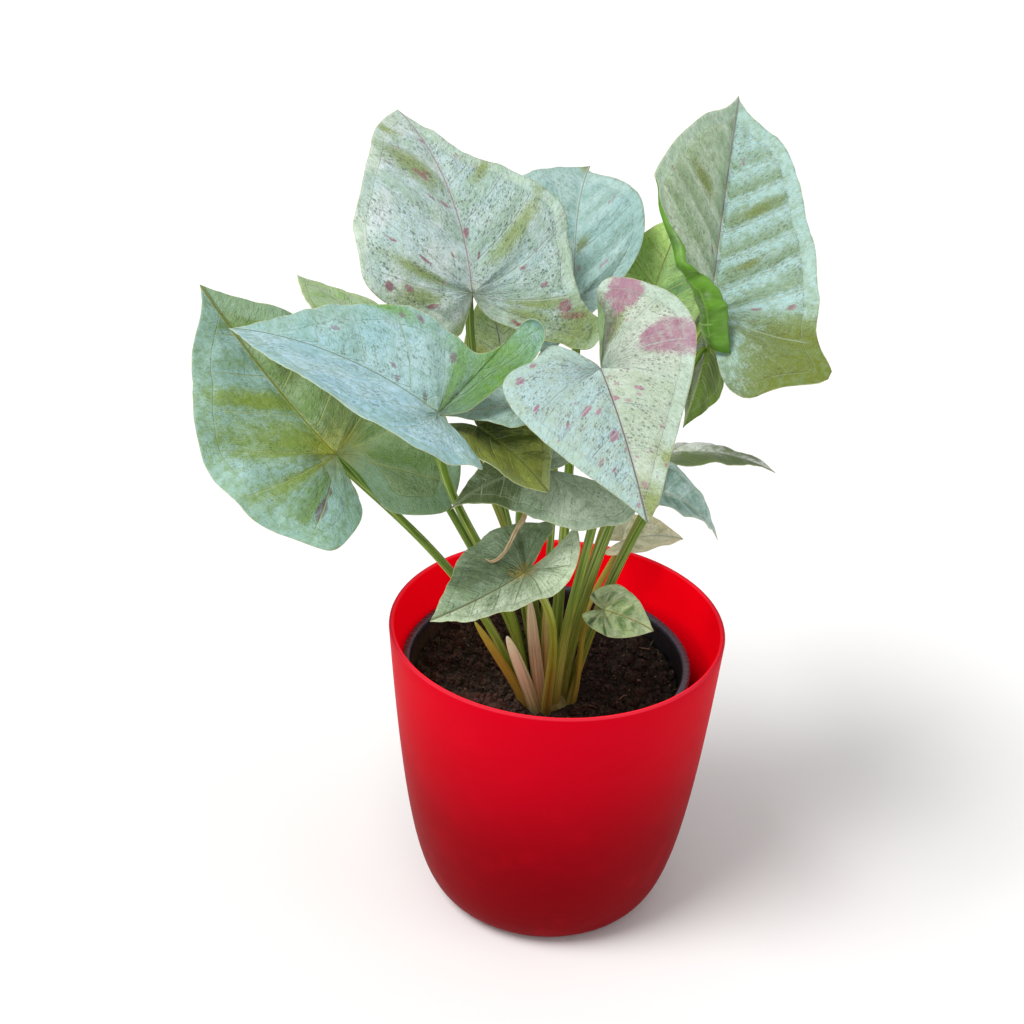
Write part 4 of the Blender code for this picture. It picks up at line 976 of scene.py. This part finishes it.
def stalk_material():
    """Stalks and sheaths: olive green, paler towards the foot but darker in its lowest few mm, with tan, pink
    and yellow ones, and fine pale and dark lines that are partly painted highlight and shade.
    """
    g = Graph("stalk")
    run = g.attribute("run")
    share, _, length = g.parts(run)
    tan_share, pink_share, yellow_share = g.parts(g.attribute("hue"))
    lines = g.noise(run, (0.0, 9.0, 0.02), 3.0, 0.6)
    cloud = g.noise(run, (2.0, 1.0, 0.06))
    specks = g.noise(run, (0.0, 7.0, 0.9))
    grown = g.step(g.plus(length, g.times(lines, 12.0)), 12.0, 44.0)
    rosy = g.step(g.plus(length, g.times(lines, 16.0)), 40.0, 18.0)
    # Darker in the lowest 10 to 22 mm of each stalk
    darker_foot = g.step(g.plus(length, g.times(lines, 12.0)), 22.0, 10.0)
    aged = g.most(tan_share, pink_share)
    marked = g.plus(0.1, g.weighed((tan_share, 0.5), (pink_share, 0.4)))
    colour = g.coat(
        g.mix(g.step(share, 0.0, 0.6), (140, 160, 62), (90, 124, 22)),
        ((128, 158, 40), g.step(cloud, 0.4, 0.7), 0.5),
        # Pale lines on the ridges and dark lines in the grooves of the relief's pattern: partly the stalks'
        # own stripes, partly painted highlight and painted shade
        ((188, 202, 112), g.step(lines, 0.5, 0.64), 0.7),
        ((56, 76, 14), g.step(lines, 0.47, 0.34), 0.75),
        ((186, 162, 62), yellow_share, 0.75),
        ((180, 144, 118), pink_share, 0.8),
        ((232, 226, 186), tan_share, g.plus(0.35, g.times(grown, 0.65))),
        ((228, 220, 190), aged, g.step(lines, 0.52, 0.68), 0.5),
        ((116, 92, 62), aged, g.step(lines, 0.48, 0.34), 0.55),
        ((142, 142, 66), rosy, 0.4, g.rest(tan_share)),
        # Darker at the foot of each stalk
        ((84, 78, 42), darker_foot, 0.7),
        ((110, 76, 60), g.step(specks, 0.64, 0.74), marked))
    height = g.weighed((lines, 0.8), (cloud, 0.3))
    return g.finish(Base_Color=colour, Roughness=0.45, Normal=g.bump(height, 0.25),
                    Specular_IOR_Level=0.35, Subsurface_Weight=0.1, Subsurface_Scale=0.001)


def wall_faces(rows, sides, first=0):
    """Quads between closed rings of points, from the number of the first ring's first point."""
    quads = []
    for row in range(rows - 1):
        for step in range(sides):
            a, b = first + row * sides + step, first + row * sides + (step + 1) % sides
            quads.append((a, b, b + sides, a + sides))
    return quads


def tube_faces(rows, sides):
    """Wall and both ends of a closed tube."""
    ends = [tuple(range(sides))[::-1], tuple(range((rows - 1) * sides, rows * sides))]
    return wall_faces(rows, sides) + ends


def circle(centre, radius, height, sides):
    """Points of a level circle."""
    angles = 2 * pi * np.arange(sides) / sides
    return [(centre[0] + radius * cos(a), centre[1] + radius * sin(a), height) for a in angles]


def fine_tube(route, radii, sides, groove, facing, flatten):
    """Points, faces and run of a closed tube with a groove along the side that faces a direction.

    The run is the share of the way, the turn round the tube folded at the half, and mm from the foot.
    """
    route, facing = np.asarray(route, float), np.asarray(facing, float)
    ways = np.gradient(route, axis=0)
    ways /= np.linalg.norm(ways, axis=1)[:, None]
    side = unit(facing - (facing @ ways[0]) * ways[0])
    angles = 2 * pi * np.arange(sides) / sides
    wrapped = (angles + pi) % (2 * pi) - pi
    points = []
    for k, (place, way, radius) in enumerate(zip(route, ways, radii)):
        side = unit(side - (side @ way) * way)
        reach = radius * (1 - groove[k] * np.exp(-(wrapped / 0.6) ** 2))
        ring = place + (reach * np.cos(angles) * flatten[k])[:, None] * side
        points.append(ring + (reach * np.sin(angles))[:, None] * np.cross(way, side))
    rows = len(route)
    lengths = np.r_[0, np.cumsum(np.linalg.norm(np.diff(route, axis=0), axis=1))]
    folded = np.tile(np.abs(angles / (2 * pi) * 2 - 1), rows)
    shares = np.repeat(np.arange(rows) / (rows - 1), sides)
    run = np.stack([shares, folded, np.repeat(lengths, sides)], axis=-1)
    return np.vstack(points), tube_faces(rows, sides), run


def stalk_vectors(run, seed, *hue):
    """What the material reads: the run, shifted by the seed, and how tan, pink and yellow a stalk is."""
    return {"run": run + (0.0, STALK_SHIFT * seed, 0.0), "hue": np.tile(hue, (len(run), 1))}


def stalk_parts(name, seed):
    """One leaf stalk: its points, faces and vectors."""
    stalk = STALKS[name]
    heart, forward, _, up, _ = blade_frame(LEAVES[name])
    foot = (CROWN_CENTRE[0] + stalk.foot[0], CROWN_CENTRE[1] + stalk.foot[1], SOIL_TOP - CROWN_DEPTH)
    end = heart + 1.0 * forward - (CAD_BLADE_THICKNESS + GAP + 0.1) * up
    share = np.linspace(0, 1, STALK_STEPS)
    route = cubic(foot, stalk.low, stalk.high, end, share)
    top_radius = stalk.thin + 0.35
    radii = top_radius + (stalk.thick - top_radius) * (1 - share) ** 2.2
    radii[-4:] = np.linspace(radii[-4], stalk.thin * 0.9, 4)
    route[-1] = heart + 1.0 * forward - 0.2 * up
    groove = 0.55 * (1 - smooth(share, 0.12, 0.5)) + 0.1
    outward = np.array([foot[0] - CROWN_CENTRE[0], foot[1] - CROWN_CENTRE[1], 0.0]) + (0.01, 0.02, 0)
    points, faces, run = fine_tube(route, radii, STALK_SIDES, groove, -unit(outward), 1 - 0.18 * (1 - share))
    return points, faces, stalk_vectors(run, seed, 0.0, 0.0, stalk.yellow)


def sheath_parts(name, seed):
    """One spent sheath: a flattened, pointed and slightly open tube."""
    sheath = SHEATHS[name]
    share = np.linspace(0, 1, SHEATH_STEPS)
    route = cubic(sheath.foot, sheath.low, sheath.high, sheath.tip, share)
    radii = sheath.width * np.sqrt(np.clip(1.02 - share ** 4, 0.02, 1))
    points, faces, run = fine_tube(route, radii, SHEATH_SIDES, 0.35 * (1 - share), (0.2, 1.0, 0.1),
                                   0.8 - 0.3 * share)
    return points, faces, stalk_vectors(run, seed, sheath.tan, sheath.pink, sheath.yellow)


def crown_parts():
    """The short stem base, a ribbed dome of old sheaths that stands in the soil."""
    points = []
    for row in range(CROWN_ROWS):
        lift = row / (CROWN_ROWS - 1)
        shrink = cos(lift * pi / 2) ** 0.6 if row < CROWN_ROWS - 1 else 0.1
        for step in range(CROWN_SIDES):
            angle = 2 * pi * step / CROWN_SIDES
            wound = angle + 0.9 * lift
            reach = 0.9 * shrink * (1 + 0.07 * abs(sin(4.5 * wound)) + 0.03 * sin(11 * wound + 1))
            lean = 0.2 * CROWN_RISE * lift * sin(2 * angle) * shrink
            points.append((CROWN_CENTRE[0] + CROWN_HALF[0] * reach * cos(angle),
                           CROWN_CENTRE[1] + CROWN_HALF[1] * reach * sin(angle),
                           SOIL_TOP - CROWN_DEPTH + (CROWN_DEPTH + CROWN_RISE) * lift + lean))
    lifts = np.repeat(np.arange(CROWN_ROWS) / (CROWN_ROWS - 1), CROWN_SIDES)
    turns = np.tile(np.arange(CROWN_SIDES) / CROWN_SIDES, CROWN_ROWS)
    run = np.stack([0.2 * lifts, 2.0 * np.abs(2 * turns - 1), 2 + 8 * lifts], axis=-1)
    return np.array(points), tube_faces(CROWN_ROWS, CROWN_SIDES), stalk_vectors(run, 0, 0.0, 0.1, 0.1)


def join_parts(parts):
    """Points, faces and vectors of several pieces as one."""
    faces, start = [], 0
    for points, piece_faces, _ in parts:
        faces += [tuple(v + start for v in face) for face in piece_faces]
        start += len(points)
    vectors = {key: np.vstack([part[2][key] for part in parts]) for key in parts[0][2]}
    return np.vstack([part[0] for part in parts]), faces, vectors


def make_stems():
    parts = [crown_parts()]
    parts += [stalk_parts(name, seed) for seed, name in enumerate(STALKS)]
    parts += [sheath_parts(name, seed) for seed, name in enumerate(SHEATHS)]
    points, faces, vectors = join_parts(parts)
    stand_in(add_mesh("fine_stems", points, faces, [stalk_material()], vectors), "stems")


def strand_material():
    """Dry curled strand: tan with brown streaks."""
    g = Graph("dry_strand")
    lines = g.noise(g.attribute("run"), (3.0, 6.0, 0.15), 4.0, 0.6)
    colour = g.mix(g.step(lines, 0.35, 0.65), (252, 230, 192), (186, 138, 98))
    return g.finish(Base_Color=colour, Roughness=0.75, Normal=g.bump(lines, 0.3))


def make_strand():
    knots = np.linspace(0, 1, len(STRAND_ROUTE))
    share = np.linspace(0, 1, STRAND_STEPS)
    route = np.stack([np.interp(share, knots, [p[k] for p in STRAND_ROUTE]) for k in range(3)], axis=-1)
    for _ in range(STRAND_SMOOTHINGS):
        route[1:-1] = (route[:-2] + 2 * route[1:-1] + route[2:]) / 4
    radii = 0.5 + 0.95 * np.sin(pi * np.clip(share + 0.1, 0, 1)) ** 0.7
    radii *= 1 + 0.08 * np.sin(40 * share)
    twist = 0.8 + 0.15 * np.sin(9 * share)
    points, faces, run = fine_tube(route, radii, STRAND_SIDES, np.full(STRAND_STEPS, 0.5), (1, 0.3, 0), twist)
    strand = add_mesh("fine_dried_strand", points, faces, [strand_material()], {"run": run})
    stand_in(strand, "dried_strand")


def lathe(name, profile, sides, materials, centre=(0.0, 0.0)):
    """Closed solid of revolution from (radius, height) points that start and end on the axis."""
    points = [(*centre, profile[0][1])]
    for radius, height in profile[1:-1]:
        points += circle(centre, radius, height, sides)
    points.append((*centre, profile[-1][1]))
    last = len(points) - 1
    faces = wall_faces(len(profile) - 2, sides, 1)
    for step in range(sides):
        after = (step + 1) % sides
        faces += [(0, 1 + after, 1 + step), (last - sides + step, last - sides + after, last)]
    return add_mesh(name, np.array(points), faces, materials)


def round_corner(start, corner, end, steps=6):
    """Points of a rounded corner between two points of a profile."""
    u = np.linspace(0, 1, steps)[:, None]
    a, b, c = (np.array(p, float) for p in (start, corner, end))
    return [tuple(p) for p in (1 - u) ** 2 * a + 2 * u * (1 - u) * b + u * u * c]


def planter_radius(height):
    swell = PLANTER_RIM_RADIUS - PLANTER_FOOT_RADIUS
    return PLANTER_FOOT_RADIUS + swell * (height / PLANTER_HEIGHT) ** PLANTER_SWELL


def planter_material():
    """Red plastic with painted light and shade: darker towards the foot, brighter towards the rim, a painted
    glow on the inner wall where light would come through, a painted highlight along the rim, and faint
    scuffs.
    """
    g = Graph("planter_red")
    place = g.place()
    across, depth, height = g.parts(place)
    # Height with a little noise, for the painted shade that darkens the red towards the foot and the painted
    # light that brightens it towards the rim
    painted_light_height = g.plus(height, g.times(g.plus(g.noise(place, 0.02, 1.0), -0.5), 12.0))
    reach = g.math("SQRT", g.plus(g.times(across, across), g.times(depth, depth)))
    slope = (PLANTER_RIM_RADIUS - planter_radius(PAINTED_GLOW_BOTTOM)) / (PLANTER_HEIGHT - PAINTED_GLOW_BOTTOM)
    from_wall = g.plus(reach, -PLANTER_RIM_RADIUS, g.times(g.plus(height, -PLANTER_HEIGHT), -slope))
    # Painted glow: mask of the inner wall near the rim, which is made bright red and emissive as if lit
    # through the plastic
    inner = g.times(g.step(from_wall, -0.9, -1.3), g.step(height, PAINTED_GLOW_BOTTOM + 2.0, PAINTED_GLOW_BOTTOM + 30.0))
    # Painted highlight: a pale pink line along the top edge of the rim
    rim = g.step(height, PLANTER_HEIGHT - 1.0, PLANTER_HEIGHT - 0.2)
    scuff = g.step(g.noise(place, (0.5, 0.5, 0.08), 5.0, 0.7), 0.62, 0.8)
    blot = g.step(g.noise(place, 0.06, 3.0), 0.5, 0.75)
    colour = g.coat(
        # Painted shade: darker red towards the foot
        g.mix(g.step(painted_light_height, 0.0, 60.0), (120, 0, 10), (134, 0, 12)),
        # Painted light: brighter red towards the rim
        ((208, 0, 27), g.step(painted_light_height, 40.0, PLANTER_HEIGHT)),
        # Painted glow of the inner wall
        ((255, 0, 20), inner),
        # Painted highlight along the rim
        ((250, 70, 92), rim, 0.45),
        ((236, 44, 62), scuff, 0.14),
        ((255, 10, 40), blot, 0.05))
    gloss = g.plus(0.4, g.times(g.noise(place, 0.05, 3.0), 0.14))
    # The emission is the painted glow of the inner wall; the planter is no lamp
    return g.finish(Base_Color=colour, Roughness=gloss, Normal=g.bump(g.noise(place, 1.6, 3.0), 0.04),
                    Specular_IOR_Level=0.02, Emission_Color=g.mix(inner, (0, 0, 0), PAINTED_GLOW_COLOUR),
                    Emission_Strength=0.46)


def make_planter():
    top, wall = PLANTER_HEIGHT, PLANTER_WALL
    foot, outer, inner = PLANTER_FOOT_RADIUS, PLANTER_RIM_RADIUS, PLANTER_RIM_RADIUS - PLANTER_WALL
    heights = top * np.linspace(0.03, 1, 34) ** 2
    outside = [(planter_radius(height), height) for height in heights if height < top - 1.2]
    inside = [(radius - wall, height) for radius, height in reversed(outside) if height > PLANTER_FLOOR + 3]
    low = planter_radius(PLANTER_FLOOR) - wall
    profile = [
        (0, 0),
        *round_corner((foot, 0), (foot + 3.0, 0.02), (planter_radius(0.2), 0.2), 4),
        *outside,
        *round_corner((outer, top - 1.0), (outer, top), (outer - 1.1, top)),
        *round_corner((inner + 1.0, top), (inner, top), (inner - 0.1, top - 1.0)),
        *inside,
        *round_corner((low, PLANTER_FLOOR + 3), (low - 0.6, PLANTER_FLOOR), (low - 4, PLANTER_FLOOR), 5),
        (0, PLANTER_FLOOR)]
    stand_in(lathe("fine_planter", profile, PLANTER_SIDES, [planter_material()]), "planter")


def nursery_radius(height):
    spread = NURSERY_RIM_RADIUS - NURSERY_LIP + NURSERY_WALL - NURSERY_BASE_RADIUS
    return NURSERY_BASE_RADIUS + spread * (height - NURSERY_BOTTOM) / (NURSERY_TOP - NURSERY_BOTTOM)


def nursery_material():
    """Black nursery pot plastic with a painted bluish highlight on the rim and a dusting of soil inside."""
    g = Graph("pot_black")
    place = g.place()
    across, _, height = g.parts(place)
    dust = g.noise(place, 0.5, 4.0, 0.65)
    inside = g.step(height, NURSERY_TOP - 1.0, NURSERY_TOP - 6.0)
    # Painted highlight: the top of the rim turns pale blue
    rim = g.step(height, NURSERY_TOP - 2.5, NURSERY_TOP - 0.5)
    colour = g.coat(
        g.mix(g.step(dust, 0.5, 0.75), (26, 27, 32), (58, 54, 54)),
        ((86, 68, 50), g.step(across, 10.0, -50.0), g.step(dust, 0.3, 0.6), inside, 0.8),
        # Painted bluish highlight on the rim
        ((104, 112, 134), rim, 0.5))
    gloss = g.plus(0.2, g.weighed((dust, 0.3), (rim, -0.08)))
    return g.finish(Base_Color=colour, Roughness=gloss, Normal=g.bump(dust, 0.1))


def make_nursery_pot():
    base, top, lip = NURSERY_BOTTOM, NURSERY_TOP, NURSERY_RIM_RADIUS
    under_lip = top - NURSERY_LIP
    floor = base + NURSERY_WALL
    inner_top = nursery_radius(top) - NURSERY_WALL
    profile = [
        (0, base), (NURSERY_BASE_RADIUS - 2, base), (NURSERY_BASE_RADIUS, base + 1),
        *((nursery_radius(h), h) for h in np.linspace(base + 2, under_lip, 12)),
        *round_corner((lip - 1.0, under_lip), (lip, under_lip), (lip, under_lip + 1.0), 4),
        *round_corner((lip, top - 1.4), (lip, top), (lip - 1.4, top), 5),
        *round_corner((inner_top + 1.2, top), (inner_top, top), (inner_top, top - 1.2), 5),
        *((nursery_radius(h) - NURSERY_WALL, h) for h in np.linspace(top - 3, base + 3, 8)),
        (NURSERY_BASE_RADIUS - NURSERY_WALL - 1, floor), (0, floor)]
    pot = lathe("fine_nursery_pot", profile, NURSERY_SIDES, [nursery_material()], NURSERY_CENTRE)
    stand_in(pot, "nursery_pot")


def soil_material(name, dark, light):
    """Damp potting mix: near black with brown crumbs, darker to the right and reddish on the clod."""
    g = Graph(name)
    place = g.place()
    east, north, _ = g.parts(place)
    grains = g.noise(place, 0.9, 5.0, 0.7)
    clod_x = g.times(g.plus(east, -CLOD_CENTRE[0]), 1 / CLOD_HALF[0])
    clod_y = g.times(g.plus(north, -CLOD_CENTRE[1]), 1 / CLOD_HALF[1])
    away = g.plus(g.times(clod_x, clod_x), g.times(clod_y, clod_y), g.times(grains, 0.6))
    colour = g.coat(
        g.mix(g.step(grains, 0.38, 0.74), dark, light),
        ((78, 60, 50), g.step(g.noise(place, 0.12, 3.0), 0.5, 0.7), 0.25),
        ((18, 15, 14), g.step(east, -20.0, 30.0), 0.45),
        ((140, 122, 100), g.dots(place, 0.5, 0.3, 0.12), 0.7),
        ((98, 66, 60), g.step(away, 1.5, 0.7), 0.6))
    height = g.weighed((grains, 0.7), (g.noise(place, 3.0, 3.0), 0.3))
    return g.finish(Base_Color=colour, Roughness=0.93, Normal=g.bump(height, 0.9), Specular_IOR_Level=0.25)


def from_spot(x, y, centre, half):
    """Squared distance from a spot's centre, 1 at its rim."""
    return ((x - centre[0]) / half[0]) ** 2 + ((y - centre[1]) / half[1]) ** 2


def soil_height(x, y):
    """Uneven top of the soil, with a clod at the left and a slight rise round the stems."""
    at = Vector((x * 0.06, y * 0.06, 3.1))
    height = 2.0 * turbulence.fractal(at, 0.8, 2.1, 5)
    height += 1.1 * turbulence.fractal(at * 6, 0.7, 2.0, 4)
    height += 3.6 * np.exp(-from_spot(x, y, CLOD_CENTRE, CLOD_HALF) ** 1.5)
    return height + 1.4 * np.exp(-from_spot(x, y, CROWN_CENTRE, CROWN_MOUND))


def make_soil():
    """Uneven top of rings round the middle, and the wall down to the pot's floor."""
    radius = nursery_radius(SOIL_TOP) - NURSERY_WALL - GAP
    points = [(*NURSERY_CENTRE, SOIL_TOP)]
    for ring in range(1, SOIL_RINGS + 1):
        points += circle(NURSERY_CENTRE, radius * (ring / SOIL_RINGS), SOIL_TOP, SOIL_SIDES)
    points = [(x, y, z + soil_height(x, y)) for x, y, z in points]
    low_radius = NURSERY_BASE_RADIUS - NURSERY_WALL - GAP
    points += circle(NURSERY_CENTRE, low_radius, NURSERY_BOTTOM + NURSERY_WALL + GAP, SOIL_SIDES)
    faces = [(0, 1 + step, 1 + (step + 1) % SOIL_SIDES) for step in range(SOIL_SIDES)]
    faces += [(a, d, c, b) for a, b, c, d in wall_faces(SOIL_RINGS + 1, SOIL_SIDES, 1)]
    faces.append(tuple(range(1 + SOIL_RINGS * SOIL_SIDES, 1 + (SOIL_RINGS + 1) * SOIL_SIDES)))
    finish = soil_material("soil", (28, 23, 21), (90, 74, 64))
    stand_in(add_mesh("fine_soil", np.array(points), faces, [finish]), "soil")


def lump(place, size, random):
    """A small uneven crumb: a squashed icosahedron."""
    golden = (1 + 5 ** 0.5) / 2
    corners = [(-1, golden, 0), (1, golden, 0), (-1, -golden, 0), (1, -golden, 0), (0, -1, golden),
               (0, 1, golden), (0, -1, -golden), (0, 1, -golden), (golden, 0, -1), (golden, 0, 1),
               (-golden, 0, -1), (-golden, 0, 1)]
    faces = [(0, 11, 5), (0, 5, 1), (0, 1, 7), (0, 7, 10), (0, 10, 11), (1, 5, 9), (5, 11, 4), (11, 10, 2),
             (10, 7, 6), (7, 1, 8), (3, 9, 4), (3, 4, 2), (3, 2, 6), (3, 6, 8), (3, 8, 9), (4, 9, 5),
             (2, 4, 11), (6, 2, 10), (8, 6, 7), (9, 8, 1)]
    points = np.array(corners) / 1.9 * size
    points *= random.uniform(0.7, 1.25, (12, 1))
    points *= random.uniform(0.6, 1.2, 3)
    turn = np.array(Matrix.Rotation(random.uniform(0, 2 * pi), 3, "Z"))
    return points @ turn.T + place, faces, {}


def soil_spot(random):
    """A random place on the soil's top, outside the crown."""
    radius = nursery_radius(SOIL_TOP) - NURSERY_WALL - 2.0
    while True:
        reach = radius * random.uniform() ** 0.5
        angle = random.uniform(0, 2 * pi)
        x, y = NURSERY_CENTRE[0] + reach * cos(angle), NURSERY_CENTRE[1] + reach * sin(angle)
        if from_spot(x, y, CROWN_CENTRE, CROWN_HALF) > 1.0:
            return np.array([x, y, SOIL_TOP + soil_height(x, y)])


def crumb(random):
    size = 0.35 + 2.9 * random.uniform() ** 3.5
    return lump(soil_spot(random) + (0, 0, 0.2 * size), size, random)


def chip(random):
    """A flat chip of bark or perlite."""
    points, faces, _ = lump(np.zeros(3), random.uniform(0.35, 1.0), random)
    return points * (1.0, 1.0, 0.4) + soil_spot(random) + (0, 0, 0.4), faces, {}


def fibre(random):
    """A thin bent fibre."""
    start = soil_spot(random) + (0, 0, 0.7)
    angle = random.uniform(0, 2 * pi)
    reach = random.uniform(3, 9)
    end = start + (reach * cos(angle), reach * sin(angle), random.uniform(-0.2, 0.8))
    middle = (start + end) / 2 + (random.uniform(-1, 1), random.uniform(-1, 1), 0.5)
    route = cubic(start, middle, middle, end, np.linspace(0, 1, FIBRE_STEPS))
    radii = np.full(FIBRE_STEPS, random.uniform(0.15, 0.35))
    plain, flat = np.zeros(FIBRE_STEPS), np.ones(FIBRE_STEPS)
    points, faces, _ = fine_tube(route, radii, FIBRE_SIDES, plain, (0, 0, 1), flat)
    return points, faces, {}


def litter_material():
    """Brown and tan bits."""
    g = Graph("litter")
    place = g.place()
    colour = g.mix(g.step(g.noise(place, 0.35, 1.0), 0.42, 0.6), (74, 52, 38), (142, 118, 92))
    return g.finish(Base_Color=colour, Roughness=0.85, Normal=g.bump(g.noise(place, 2.0, 3.0), 0.3))


def make_crumbs():
    """Crumbs of soil, and a few chips and fibres that lie among them."""
    random = np.random.default_rng(5)
    points, faces, _ = join_parts([crumb(random) for _ in range(CRUMB_COUNT)])
    finish = soil_material("soil_crumb", (34, 28, 26), (120, 100, 86))
    crumbs = add_mesh("soil_crumbs", points, faces, [finish])
    crumbs.data.polygons.foreach_set("use_smooth", np.zeros(len(faces), bool))
    stand_in(crumbs)
    litter = [chip(random) for _ in range(CHIP_COUNT)] + [fibre(random) for _ in range(FIBRE_COUNT)]
    points, faces, _ = join_parts(litter)
    stand_in(add_mesh("soil_litter", points, faces, [litter_material()]))


def make_floor():
    g = Graph("pale_floor")
    colour = g.mix(g.noise(g.place(), 0.004), (246, 246, 246), (251, 251, 251))
    finish = g.finish(Base_Color=colour, Roughness=0.9)
    corners = [(x * FLOOR_REACH, y * FLOOR_REACH, 0) for x, y in ((-1, -1), (1, -1), (1, 1), (-1, 1))]
    floor = add_mesh("floor", corners, [(0, 1, 2, 3)], [finish])


def add_sun(name, towards, strength, spread, colour=(1.0, 1.0, 1.0)):
    """A soft light from a wide disc of sky, which falls the same way everywhere."""
    data = bpy.data.lights.new(name, "SUN")
    data.energy = strength
    data.angle = radians(spread)
    data.color = colour
    light = bpy.data.objects.new(name, data)
    light.rotation_euler = Vector(towards).to_track_quat("-Z", "Y").to_euler()
    bpy.context.scene.collection.objects.link(light)


def make_lights():
    """White surroundings with a soft light from above and one from each side."""
    world = bpy.data.worlds.new("studio")
    world.use_nodes = True
    background = world.node_tree.nodes["Background"]
    background.inputs["Color"].default_value = (1.0, 1.0, 1.0, 1.0)
    background.inputs["Strength"].default_value = WORLD_STRENGTH
    bpy.context.scene.world = world
    bpy.context.scene.view_settings.view_transform = "Standard"
    add_sun("above", (0.42, 0.30, -0.85), 2.05, 26, (1.0, 0.995, 0.98))
    add_sun("left", (0.95, 0.2, -0.3), 0.55, 30)
    add_sun("right", (-0.95, 0.3, -0.25), 0.42, 40)


def make_camera():
    """The pinhole camera of the photograph, turned down and rolled."""
    down, roll = radians(CAMERA_DOWN), radians(CAMERA_ROLL)
    ahead = Vector((0, cos(down), -sin(down)))
    level_right = Vector((1, 0, 0))
    level_up = Vector((0, sin(down), cos(down)))
    right = cos(roll) * level_right - sin(roll) * level_up
    up = sin(roll) * level_right + cos(roll) * level_up
    data = bpy.data.cameras.new("camera")
    data.lens = CAMERA_LENS
    data.sensor_width = SENSOR
    data.clip_start = 0.01
    camera = bpy.data.objects.new("camera", data)
    turn = Matrix((right, up, -ahead)).transposed().to_4x4()
    camera.matrix_world = Matrix.Translation(Vector(CAMERA_PLACE) * MM) @ turn
    bpy.context.scene.collection.objects.link(camera)
    bpy.context.scene.camera = camera


make_camera()
make_lights()
make_floor()
make_planter()
make_nursery_pot()
make_soil()
make_crumbs()
make_stems()
make_strand()
for number, leaf_name in enumerate(LEAVES):
    make_leaf(leaf_name, number + 1)
